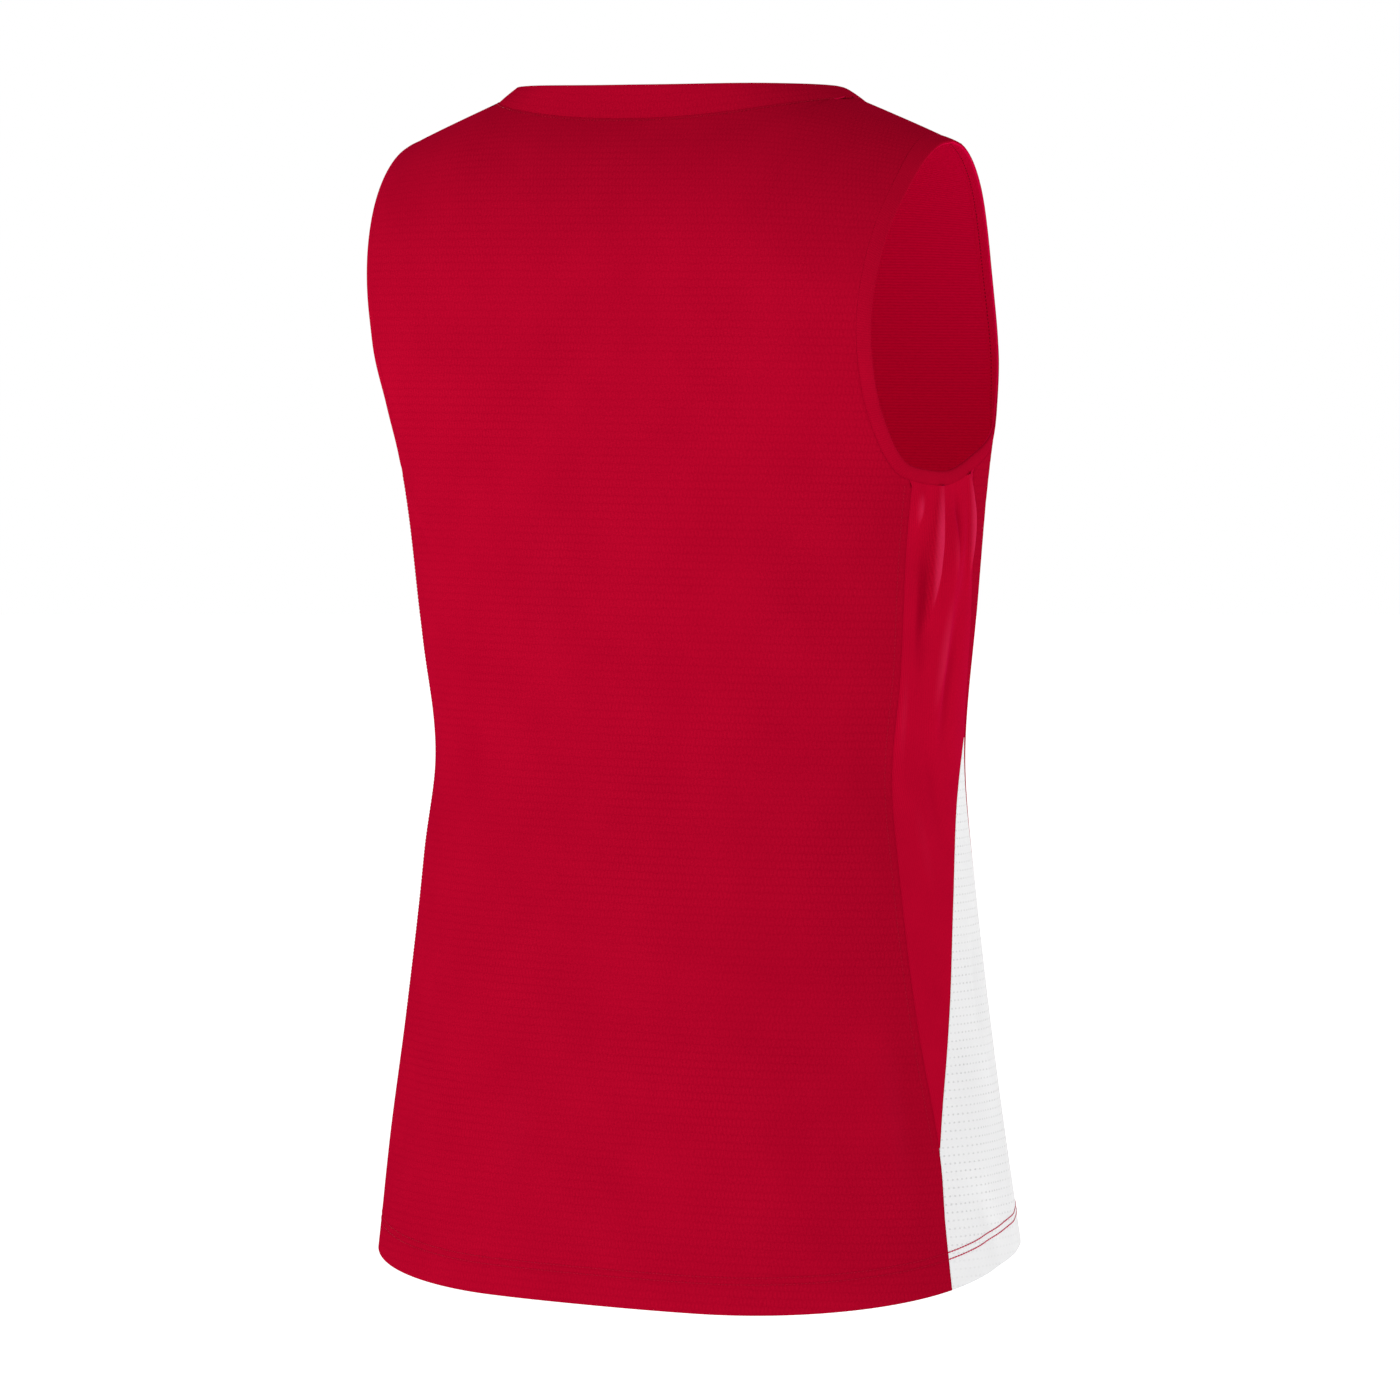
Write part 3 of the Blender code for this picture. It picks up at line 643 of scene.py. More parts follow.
def wedge_grid(steps):
    """The contrast piece at the side, which widens from a point at the waist to the hem."""
    back = seam_chain(HALF_GAP, steps, BACK_CORNER, BACK_SEAM, WEDGE_BACK_SEAM, None)
    front = seam_chain(-HALF_GAP, steps, FRONT_CORNER, WEDGE_FRONT_SEAM, WEDGE_FRONT_SEAM, None)
    foot = hem_spots(np.linspace(back[0, 0], front[0, 0], SIDE_COLUMNS * steps + 1))
    back, front = (edge[::-1] for edge in point_cut(back[::-1], front[::-1]))
    top = np.linspace(back[-1], front[-1], SIDE_COLUMNS * steps + 1)
    return coons(foot, top, back, front)


def point_cut(back, front):
    """Two edges that start at one point, each cut off where the piece is still TIP wide."""
    by_turn, _ = spans(back)
    width = (front[:, 0] - back[:, 0]) * np.linalg.norm(by_turn, axis=-1)
    start = np.interp(TIP, width[: len(width) // 2], np.arange(len(width) // 2))
    at = start + (len(back) - 1 - start) * np.linspace(0, 1, len(back))
    index = np.arange(len(back))
    return (
        np.stack([np.interp(at, index, edge[:, k]) for k in (0, 1)], axis=-1)
        for edge in (back, front)
    )


# ---------------------------------------------------------------- cloth


def summed(steps):
    """The running total of some steps, from 0."""
    return np.concatenate([[0], np.cumsum(steps)])


def arc_table():
    """(heights, lengths round the outline from the centre back at each degree of turn)."""
    heights = np.arange(-760, 61, 10.0)  # from below the hem to above the shoulders
    turns = np.arange(-180, 181)
    across, deep = ring(turns[None, :], heights[:, None])
    steps = np.hypot(np.diff(across, axis=1), np.diff(deep, axis=1))
    lengths = np.apply_along_axis(summed, 1, steps)
    return heights, lengths - lengths[:, 180:181]


ARC_HEIGHTS, ARC_LENGTHS = arc_table()


def arc(turn, height):
    """Length round the outline from the centre back to a spot."""
    row = np.interp(height, ARC_HEIGHTS, np.arange(len(ARC_HEIGHTS)))
    column = np.clip(np.asarray(turn, float) + 180, 0, 360)
    j, i = np.minimum(row.astype(int), len(ARC_HEIGHTS) - 2), np.minimum(column.astype(int), 359)
    v, u = row - j, column - i
    low = ARC_LENGTHS[j, i] * (1 - u) + ARC_LENGTHS[j, i + 1] * u
    high = ARC_LENGTHS[j + 1, i] * (1 - u) + ARC_LENGTHS[j + 1, i + 1] * u
    return low * (1 - v) + high * v


def flat_places(grid, grain_turn):
    """Where a grid's spots lie on the flat cut, in mm from the grain line at grain_turn."""
    height = height_at(grid[..., 0], grid[..., 1])[0]
    wide = arc(grid[..., 0], height) - arc(np.full(height.shape, float(grain_turn)), height)
    return np.stack([wide, grid[..., 1]], axis=-1)


def smoothed_out(height):
    """Added to the distance from a seam where the cloth lies flat over it, up the armhole."""
    return SMOOTH_REACH * eased((height - SMOOTH_FROM) / (SMOOTH_TO - SMOOTH_FROM))


def edge_places(grid, flat, open_column):
    """(distance to the nearest sewn side edge, height above the hem) of a grid's spots, in mm."""
    edges = [c for c in (0, -1) if c != open_column]
    near = np.min([np.abs(flat[..., 0] - flat[:, c : c + 1 or None, 0]) for c in edges], axis=0)
    near = near + smoothed_out(grid[..., 1])
    return np.stack([near, grid[..., 1] - hem_height(grid[..., 0])], axis=-1)


def hung(points):
    """Where points of the even garment come to lie, in metres, as it hangs a little askew."""
    points = np.array(points, float)
    points[..., 2] += ASKEW * points[..., 0]
    return points * MM


def mesh_of(name, patches):
    """An object made of patches, whose shared points are joined. Each patch is
    (points in metres, {map name: places}, whether it runs to the left)."""
    points, faces, maps = [], [], {}
    for grid, places, leftwards in patches:
        rows, columns = grid.shape[:2]
        index = sum(len(p) for p in points) + np.arange(rows * columns).reshape(rows, columns)
        corners = (index[1:, :-1], index[1:, 1:], index[:-1, 1:], index[:-1, :-1])
        quads = np.stack(corners if leftwards else corners[::-1], axis=-1).reshape(-1, 4)
        points.append(grid.reshape(-1, 3))
        faces.append(quads)
        for key, place in places.items():
            maps.setdefault(key, []).append(place.reshape(-1, 2))
    mesh = bpy.data.meshes.new(name)
    mesh.from_pydata(np.concatenate(points), [], np.concatenate(faces).tolist())
    corners = np.empty(len(mesh.loops), np.int32)
    mesh.loops.foreach_get("vertex_index", corners)
    for key, places in maps.items():
        layer = mesh.uv_layers.new(name=key)
        values = np.concatenate(places)[corners] * MM
        layer.uv.foreach_set("vector", values.astype(np.float32).ravel())
    bm = bmesh.new()
    bm.from_mesh(mesh)
    bmesh.ops.remove_doubles(bm, verts=bm.verts, dist=JOINED)
    bm.to_mesh(mesh)
    bm.free()
    return placed(name, mesh)


def placed(name, mesh):
    piece = bpy.data.objects.new(name, mesh)
    bpy.context.scene.collection.objects.link(piece)
    return piece


def clothed(piece, wall, outside, inside, slot):
    """Turns a sheet into cloth of a wall's thickness, its outer face where it was."""
    piece.data.materials.append(finish(outside))
    piece.data.materials.append(finish(inside))
    solidify = piece.modifiers.new("wall", "SOLIDIFY")
    solidify.thickness = wall
    solidify.offset = -1
    solidify.material_offset = 1
    bpy.ops.object.select_all(action="DESELECT")
    piece.select_set(True)
    bpy.context.view_layer.objects.active = piece
    bpy.ops.object.modifier_apply(modifier=solidify.name)
    piece.data.shade_smooth()
    piece.data.set_sharp_from_angle(angle=math.radians(SHARP_ANGLE))
    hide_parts(piece.name.replace("_cloth", ""))
    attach(piece, "root")


def cut_size(patches):
    """(width, length, area) of the flat cut in metres, from the patches' own places on it."""
    places = [patch[1]["cut"] * MM for patch in patches]
    every = np.concatenate([place.reshape(-1, 2) for place in places])
    area = 0.0
    for place in places:
        one, two = place[1:, 1:] - place[:-1, :-1], place[1:, :-1] - place[:-1, 1:]
        area += np.abs(one[..., 0] * two[..., 1] - one[..., 1] * two[..., 0]).sum() / 2
    width, length = np.ptp(every, axis=0)
    return float(width), float(length), float(min(area, width * length))


def panel(name, grid, halves, grain_turn, open_column, cloth):
    """One cut piece of the body. halves lists +1 for the left and -1 for the right, and cloth names
    the outer finish, the inner finish and the material slot; the slot is not used."""
    patches = []
    for half in halves:
        spots = grid * (half, 1)
        flat = flat_places(spots, grain_turn * half)
        # The creases' rise, which the finishes paint as highlight on ridges and as shade in hollows
        rise = pushed(CREASES, spots[..., 0], height_at(spots[..., 0], spots[..., 1])[0])
        places = {
            "cut": flat,
            "edge": edge_places(spots, flat, open_column),
            "crease": np.stack([rise, rise], axis=-1),
        }
        patches.append((hung(surface(spots)[0]), places, half > 0))
    piece = mesh_of(name, patches)
    clothed(piece, bpy.context.scene.jersey_sizes.panel_wall, *cloth)
    width, length, area = cut_size(patches)
    return piece, (width, length), area


# ---------------------------------------------------------------- bands


def band_profile(width):
    """A folded strip's outer line from its front edge over the fold to its back edge: (up, out)."""
    radius = BAND_THICK / 2
    up = np.linspace(0, width - radius, BAND_ROWS)
    turn = np.linspace(0, np.pi, FOLD_ROWS + 2)[1:-1]
    down = np.append(up[::-1], -ALLOWANCE)
    front = (up, BAND_PUFF * np.sin(np.pi * up / width))
    fold = (width - radius + radius * np.sin(turn), radius * np.cos(turn) - radius)
    back = (down, np.full(len(down), -BAND_THICK))
    return np.concatenate([np.stack(part, axis=-1) for part in (front, fold, back)])


def folded_band(name, lines, cloth):
    """A folded strip of cloth. A line is (points, ways up, ways out, widths, if it runs left)."""
    patches = []
    for base, way, face, widths, leftwards in lines:
        rows = []
        for start, up, out, width in zip(base, way, face, widths):
            profile = band_profile(width)
            rows.append(start + profile[:, :1] * up + profile[:, 1:] * out)
        rows = np.array(rows)
        length = summed(np.linalg.norm(np.diff(rows, axis=0), axis=-1).mean(axis=1))
        sides = np.linalg.norm(np.diff(rows, axis=1), axis=-1)
        height = np.apply_along_axis(summed, 1, sides)
        flat = np.stack(np.broadcast_arrays(length[:, None], height), axis=-1)
        quiet = height + smoothed_out(base[:, 2])[:, None]
        edge = np.stack([quiet, np.full(quiet.shape, FAR_ABOVE_HEM)], axis=-1)
        patches.append((hung(rows), {"cut": flat, "edge": edge}, leftwards))
    piece = mesh_of(name, patches)
    across = rows.shape[1] - 1
    for index, face in enumerate(piece.data.polygons):
        face.material_index = int(index % across >= across // 2)  # inner face past the fold
    clothed(piece, bpy.context.scene.jersey_sizes.band_wall, *cloth)
    length, width, area = cut_size(patches[:1])
    return piece, (width, length * len(lines)), area * len(lines)


def flipped(vectors):
    return vectors * (-1, 1, 1)


def neck_lines():
    """(points, ways up, ways out, widths) of the neck band's left half, from the centre back."""
    steps = NECK_COLUMNS * BAND_STEPS
    halves = []
    for front, low, end, way in ((False, 0, 0, (1, 0, 0)), (True, 1, -1, (-1, 0, 0))):
        shares = np.linspace(low, low + 1, steps + 1)
        point, out = surface(neckline(shares, front))
        along = way_along(lambda at: neckline(at, front), shares, 0.02, low, low + 1)
        along[end] = way  # at the centre plane the line runs straight across it
        halves.append((point, out, along, shares))
    point, out, along, shares = (np.concatenate([a, b[1:]]) for a, b in zip(*halves))
    for values in (out, along):  # both differ a little where the back meets the front
        values[steps] = unit(values[steps - 1] + values[steps + 1])
    inward = unit(np.cross(along, out))
    stand = BACK_STAND + (SIDE_STAND - BACK_STAND) * eased(shares)
    lean = np.radians(stand + (FRONT_STAND - SIDE_STAND) * eased(shares - 1))[:, None]
    way = inward * np.cos(lean) + out * np.sin(lean)
    face = out * np.cos(lean) - inward * np.sin(lean)
    widths = BACK_BAND + (FRONT_BAND - BACK_BAND) * eased(shares) - HALF_GAP
    return point + way * HALF_GAP, way, face, widths


def armhole_lines():
    """An armhole band's line from the shoulder down the back and up the front."""
    down = np.linspace(0, BACK_CORNER, ARMHOLE_ROWS * BAND_STEPS + 1)
    under = np.linspace(BACK_CORNER, FRONT_CORNER, SIDE_COLUMNS * BAND_STEPS + 1)
    up = np.linspace(FRONT_CORNER, LAST_EDGE, ARMHOLE_ROWS * BAND_STEPS + 1)
    rows = chained(down, under, up)
    base, out = surface(armhole_spots(rows, ARM_BAND - HALF_GAP))
    edge, _ = surface(armhole_spots(rows, 0))
    return base, unit(edge - base), out, np.linalg.norm(edge - base, axis=-1)


# ---------------------------------------------------------------- stitches

HEM_STITCHES = (19.0, 23.2)  # heights of the two rows above the hem's edge
SIDE_STITCHES = 5.0  # from the side seam to the row beside it
BACK_NECK_STITCHES = 2.2  # from the neck seam down to the row below it
FRONT_NECK_STITCHES = 2.6
BAND_STITCHES = 0.4  # from the armhole seam up to the row inside the band
LINE_POINTS = 300  # on a line that stitches follow
HEM_POINTS = 900  # on one right across the back or the front
SEAM_POINTS = 400
ROW_END = 4  # how far below the armhole seam the rows beside the side seams end
THREAD_LIFT = 0.05  # how far a stitch's middle lies off the cloth
THREAD_FLAT = 0.7  # how thick a stitch is for its width
STITCH_LENGTH = 0.82  # share of the pitch


def thread_stitch(size):
    """One stitch's mesh: a short length of thread whose ends sink into the cloth."""
    bpy.ops.object.select_all(action="DESELECT")
    bpy.ops.mesh.primitive_uv_sphere_add(segments=6, ring_count=5, radius=0.5)
    stitch = bpy.context.object
    bpy.ops.object.mode_set(mode="EDIT")
    bpy.ops.mesh.select_all(action="SELECT")
    bpy.ops.transform.rotate(value=math.pi / 2, orient_axis="Y", center_override=(0, 0, 0))
    bpy.ops.transform.resize(value=size)
    bpy.ops.object.mode_set(mode="OBJECT")
    mesh = stitch.data
    points = np.empty(len(mesh.vertices) * 3)
    mesh.vertices.foreach_get("co", points)
    faces = [tuple(face.vertices) for face in mesh.polygons]
    bpy.data.objects.remove(stitch)
    bpy.data.meshes.remove(mesh)
    return points.reshape(-1, 3), faces


def sewn(name, lines, look, thickness=1.0, share=STITCH_LENGTH):
    """Rows of stitches along lines of (points, ways out)."""
    sizes = bpy.context.scene.jersey_sizes
    pitch, thick = sizes.stitch_pitch / MM, sizes.stitch_width / MM * thickness
    shape, sides = thread_stitch((pitch * share, thick, thick * THREAD_FLAT))
    points, faces, count = [], [], 0
    for path, out in lines:
        distance = summed(np.linalg.norm(np.diff(path, axis=0), axis=-1))
        places = np.arange(pitch / 2, distance[-1], pitch)
        centre, ends, starts, face = (
            np.stack([np.interp(places + off, distance, values[:, k]) for k in range(3)], axis=-1)
            for values, off in ((path, 0), (path, 0.5), (path, -0.5), (out, 0))
        )
        along, face = unit(ends - starts), unit(face)
        side = unit(np.cross(face, along))
        axes = (along, side, np.cross(along, side))
        copies = centre[:, None]
        for k, axis in enumerate(axes):
            copies = copies + shape[None, :, k : k + 1] * axis[:, None]
        points.append(copies.reshape(-1, 3))
        for _ in places:
            faces += [tuple(count + corner for corner in corners) for corners in sides]
            count += len(shape)
    mesh = bpy.data.meshes.new(name)
    mesh.from_pydata(hung(np.concatenate(points)), [], faces)
    mesh.shade_smooth()
    mesh.materials.append(finish(look))
    piece = placed(name, mesh)
    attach(piece, "root")
    return piece


def both_sides(spots):
    """A line of stitches on the left and its twin on the right."""
    return [surface(spots * (half, 1), THREAD_LIFT) for half in (1, -1)]


def hem_lines(start, end, count):
    """The two rows of stitches that hold a turned hem, between two turns."""
    turns = np.linspace(start, end, count)
    return [surface(hem_spots(turns, above), THREAD_LIFT) for above in HEM_STITCHES]


# ---------------------------------------------------------------- materials


NODE_COLUMNS = 13


class Nodes:
    """Adds shader nodes to a material by name, in reading order."""

    def __init__(self, name):
        self.material = bpy.data.materials.new(name)
        self.material.use_nodes = True
        self.tree = self.material.node_tree
        self.shader = self.tree.nodes["Principled BSDF"]
        self.shader.location = (900, 0)
        self.tree.nodes["Material Output"].location = (1200, 0)
        self.count = 0

    def add(self, kind, label, **settings):
        node = self.tree.nodes.new("ShaderNode" + kind)
        node.label = label
        row, column = divmod(self.count, NODE_COLUMNS)
        node.location = (-1400 + 170 * column, 300 - 260 * row)
        self.count += 1
        for key, value in settings.items():
            setattr(node, key, value)
        return node

    def feed(self, socket, value):
        """Gives a socket a number, a colour or another node's output."""
        if isinstance(value, bpy.types.NodeSocket):
            self.tree.links.new(value, socket)
        else:
            socket.default_value = (*value, 1) if isinstance(value, tuple) else value

    def math(self, operation, label, *values):
        node = self.add("Math", label, operation=operation)
        for socket, value in zip(node.inputs, values):
            self.feed(socket, value)
        return node.outputs[0]

    def times(self, label, a, b):
        return self.math("MULTIPLY", label, a, b)

    def plus(self, label, value, share, base):
        """base + share * value"""
        return self.math("MULTIPLY_ADD", label, value, share, base)

    def mix(self, label, share, a, b):
        node = self.add("Mix", label, data_type="RGBA")
        for index, value in ((0, share), (6, a), (7, b)):
            self.feed(node.inputs[index], value)
        return node.outputs[2]

    def ramp(self, label, value, start, end, low=0.0, high=1.0, kind="SMOOTHSTEP"):
        """From low to high while a value goes from start to end."""
        node = self.add("MapRange", label, interpolation_type=kind)
        for socket, number in zip(node.inputs, (value, start, end, low, high)):
            self.feed(socket, number)
        return node.outputs[0]

    def noise(self, label, source, scale, detail=2.0):
        node = self.add("TexNoise", label)
        self.feed(node.inputs["Vector"], source)
        self.feed(node.inputs["Scale"], scale)
        self.feed(node.inputs["Detail"], detail)
        return node.outputs["Fac"]

    def places(self, uv_map):
        """(places, across, up) on one of a mesh's maps, in metres."""
        uv = self.add("UVMap", uv_map + " map", uv_map=uv_map).outputs[0]
        split = self.add("SeparateXYZ", uv_map + " places")
        self.feed(split.inputs[0], uv)
        return uv, split.outputs[0], split.outputs[1]

    def bump(self, label, height, distance, strength):
        node = self.add("Bump", label)
        for key, value in (("Strength", strength), ("Distance", distance), ("Height", height)):
            self.feed(node.inputs[key], value)
        self.set(Normal=node.outputs[0])

    def set(self, **values):
        for key, value in values.items():
            self.feed(self.shader.inputs[key.replace("_", " ")], value)

    def wave(self, label, along, pitch):
        """0 on the lines that divide a direction into cells, 1 half way between them."""
        turns = self.times(label + " count", along, math.pi / pitch)
        return self.math("ABSOLUTE", label, self.math("SINE", label + " wave", turns))

    def grooves(self, hem):
        """(0 in each seam's groove and, if wanted, in the hem's groove lines, height above the
        hem). Callers use the first for the bump of each groove and for painted shade in it.
        """
        _, from_seam, above_hem = self.places("edge")
        shade = self.ramp("seam dip", from_seam, 0.0, SEAM_DIP * MM)
        for height in HEM_STITCHES if hem else ():
            off = self.math("SUBTRACT", "from the row", above_hem, height * MM)
            off = self.math("ABSOLUTE", "off the groove", off)
            groove = self.ramp("groove", off, 0.0, GROOVE_REACH * MM)
            shade = self.times("sewn lines", groove, shade)
        return shade, above_hem

    def creased(self, colour, ridge_highlight, shaded):
        """A colour that turns to a painted highlight tone on the creases' ridges and to a painted
        shade tone in their hollows.
        """
        _, rise, _ = self.places("crease")
        for label, tone, (start, full) in (("ridge", ridge_highlight, RIDGE), ("hollow", shaded, HOLLOW)):
            share = self.ramp(label, rise, start * MM, full * MM)
            colour = self.mix(label + " colour", share, colour, tone)
        self.set(Base_Color=colour)


SEAM_DIP = 1.8  # how far from a seam its groove and the groove's painted shade reach
# how far from a hem row of stitches its groove and the groove's painted shade reach
GROOVE_REACH = 1.6
RIDGE = (0.6, 4.4)  # rise of the cloth where the painted highlight of a ridge starts, and where it is full
# fall of the cloth where the painted shade of a hollow starts, and where it is full
HOLLOW = (-0.4, -3.4)


def darker(colour, share):
    return tuple(c * share for c in colour)


def lighter(colour, share):
    return tuple(min(1.0, c * (1 + share) + 0.01 * share) for c in colour)


def highlight_tone(colour, share):
    """A lighter, pinker tone of a red, used as the painted highlight on the creases' ridges."""
    return (colour[0] * (1 + share), colour[1] + 0.04 * share, colour[2] + 0.12 * share)


def mesh_knit(nodes, colour, sizes):
    """Mesh knit: rounded loops in rows set off by half, with broken dark lines round them."""
    uv, across, up = nodes.places("cut")
    row = nodes.math("FLOOR", "row", nodes.math("DIVIDE", "rows", up, sizes.cell_height))
    odd = nodes.math("FLOORED_MODULO", "odd row", row, 2.0)
    set_off = nodes.plus("set off", odd, sizes.cell_width / 2, across)
    wale = nodes.wave("wale", set_off, sizes.cell_width)
    wale = nodes.math("POWER", "wale roundness", wale, 0.35)
    course = nodes.wave("course", up, sizes.cell_height)
    course = nodes.math("POWER", "course roundness", course, 0.24)
    loop = nodes.times("loop", wale, course)
    clearer = nodes.times("clearer here", nodes.noise("patches", uv, 14, 1.0), 1.05)
    uneven = nodes.times("uneven yarn", nodes.noise("yarn", uv, 260), clearer)
    fibre = nodes.noise("loose fibres", uv, 800, 3.0)
    lines = nodes.math("SUBTRACT", "off the mean", loop, 0.76)
    shade = nodes.plus("fibre light", fibre, 0.75, nodes.times("broken lines", lines, uneven))
    shade = nodes.plus("dye", nodes.noise("uneven dye", uv, 22), 0.3, shade)
    grooves, _ = nodes.grooves(hem=True)
    # Painted shade: the colour darkens in each seam's groove and along the hem's groove lines
    shade = nodes.times("shade", shade, nodes.plus("groove light", grooves, 0.25, 0.75))
    yarn = nodes.mix("yarn colour", shade, darker(colour, 0.76), lighter(colour, 0.24))
    # Painted highlight on the creases' ridges and painted shade in their hollows
    nodes.creased(yarn, highlight_tone(colour, 0.1), darker(colour, 0.9))
    relief = nodes.plus("relief", grooves, 1.5, nodes.plus("yarn relief", fibre, 1.2, loop))
    nodes.bump("loops", relief, 0.0002, 0.3)
    nodes.set(Roughness=0.8, Specular_IOR_Level=0.0)
    nodes.set(Sheen_Weight=0.02, Sheen_Roughness=0.35, Sheen_Tint=(1, 0.02, 0.25))


def ribbed_inside(nodes, colour, sizes):
    """The knit's inner face: fine level ribs, a little broken, with a faint painted glow."""
    uv, _, up = nodes.places("cut")
    broken = nodes.times("broken", nodes.noise("breaks", uv, 420), 0.6)
    shade = nodes.plus("rib light", nodes.wave("rib", up, sizes.rib), 0.6, broken)
    yarn = nodes.mix("inside colour", shade, darker(colour, 0.72), lighter(colour, 0.16))
    nodes.set(Base_Color=yarn)
    nodes.bump("ribs", shade, 0.0003, 0.6)
    nodes.set(Roughness=0.85, Specular_IOR_Level=0.0)
    # Painted light: the inner face glows a little, to brighten the inside of the jersey where
    # little light reaches
    nodes.set(Emission_Color=(1.0, 0.0, 0.045), Emission_Strength=0.135)


def smooth_knit(nodes, colour, sizes, sheen=0.14):
    """Fine interlock: small slanting specks and a soft pinkish sheen."""
    uv, across, up = nodes.places("cut")
    wales = 2 * math.pi / sizes.fine_wale
    slant = nodes.plus("slant", up, 0.6, across)
    wale = nodes.math("SINE", "fine wale", nodes.times("fine wales", slant, wales))
    course = nodes.math("SINE", "fine course", nodes.times("fine courses", up, wales / 1.3))
    speck = nodes.times("speck", wale, course)
    fibre = nodes.noise("fibre", uv, 900)
    shade = nodes.plus("fibre light", fibre, 0.5, nodes.plus("speck light", speck, 0.26, 0.1))
    shade = nodes.plus("dye", nodes.noise("uneven dye", uv, 30), 0.3, shade)
    seam_shade, _ = nodes.grooves(hem=False)
    # Painted shade: the colour darkens along each seam, with no groove in the bump here
    shade = nodes.times("shade", shade, nodes.plus("seam light", seam_shade, 0.3, 0.7))
    yarn = nodes.mix("side colour", shade, darker(colour, 0.8), lighter(colour, 0.26))
    # Painted highlight on the creases' ridges and painted shade in their hollows
    nodes.creased(yarn, highlight_tone(colour, 0.36), darker(colour, 0.76))
    nodes.bump("specks", nodes.plus("speck relief", speck, 0.5, fibre), 0.00012, 0.5)
    nodes.set(Roughness=0.6, Specular_IOR_Level=0.0)
    nodes.set(Sheen_Weight=sheen, Sheen_Roughness=0.3, Sheen_Tint=(1, 0.03, 0.35))


def band_knit(nodes, colour, sizes):
    """The side panels' knit, with next to no sheen."""
    smooth_knit(nodes, colour, sizes, sheen=0.03)


def eyelet_knit(nodes, colour, sizes):
    """White mesh knit: level rows of small eyelets with faint shadows, none on the doubled hem."""
    uv, across, up = nodes.places("cut")
    narrow = nodes.math("POWER", "narrow", nodes.wave("across", across, sizes.eyelet_width), 2.0)
    low = nodes.math("POWER", "low", nodes.wave("up", up, sizes.cell_height), 6.0)
    cloth = nodes.ramp("eyelet", nodes.times("nearness", narrow, low), 0.45, 0.95, 1.0, 0.0)
    grooves, above_hem = nodes.grooves(hem=True)
    double = nodes.ramp("doubled hem", above_hem, 0.019, 0.0235, 0.7, 0.0, "LINEAR")
    cloth = nodes.math("MAXIMUM", "cloth between", cloth, double)
    faint = nodes.times("faint eyelets", nodes.noise("uneven eyelets", uv, 50), 1.5)
    hole = nodes.times("shaded", nodes.math("SUBTRACT", "depth", 1.0, cloth), faint)
    shade = nodes.math("SUBTRACT", "eyelet shade", 1.0, hole)
    # Painted shade: the colour darkens a little in each seam's groove and along the hem's groove
    # lines
    light = nodes.times("light", shade, nodes.plus("groove light", grooves, 0.12, 0.88))
    yarn = nodes.mix("white yarn", light, darker(colour, 0.74), colour)
    # Painted highlight on the creases' ridges and painted shade in their hollows
    nodes.creased(yarn, lighter(colour, 0.03), darker(colour, 0.88))
    relief = nodes.plus("groove relief", grooves, 0.4, shade)
    relief = nodes.plus("fibre relief", nodes.noise("fibre", uv, 1200), 0.3, relief)
    nodes.bump("eyelets", relief, 0.0003, 0.6)
    nodes.set(Roughness=0.8, Specular_IOR_Level=0.1, Sheen_Weight=0.1, Sheen_Roughness=0.5)


def thread(nodes, colour, _):
    """Sewing thread: a fine twist in two tones."""
    twist = nodes.noise("twist", nodes.add("TexCoord", "place").outputs["Object"], 1800, 1.0)
    yarn = nodes.mix("thread colour", twist, darker(colour, 0.8), lighter(colour, 0.25))
    nodes.set(Base_Color=yarn)
    nodes.bump("twist relief", twist, 0.0001, 0.5)
    nodes.set(Roughness=0.6, Specular_IOR_Level=0.03)


def backdrop(nodes, colour, _):
    """Matt studio paper, faintly mottled, that gives back some light of its own."""
    mottle = nodes.noise("mottle", nodes.add("TexCoord", "place").outputs["Object"], 3.0)
    nodes.set(Base_Color=nodes.mix("paper colour", mottle, colour, darker(colour, 0.99)))
    nodes.set(Roughness=0.9, Specular_IOR_Level=0.0)
    nodes.set(Emission_Color=(1.0, 1.0, 1.0), Emission_Strength=0.7)


FINISHES = {
    "red mesh knit": (mesh_knit, "red"),
    "red mesh inside": (ribbed_inside, "inside"),
    "red smooth knit": (smooth_knit, "side_red"),
    "red smooth inside": (ribbed_inside, "inside"),
    "white mesh knit": (eyelet_knit, "white"),
    "red band knit": (band_knit, "red"),
    "red thread": (thread, "thread"),
    "dark red thread": (thread, "dark_thread"),
    "red thread on white": (thread, "thread_on_white"),
    "studio paper": (backdrop, "paper"),
}


def finish(kind):
    """A finish of the jersey by name, made on first use."""
    if kind not in bpy.data.materials:
        make, colour = FINISHES[kind]
        scene = bpy.context.scene
        make(Nodes(kind), tuple(getattr(scene.jersey_colours, colour)), scene.jersey_sizes)
    return bpy.data.materials[kind]


# ---------------------------------------------------------------- the add-on


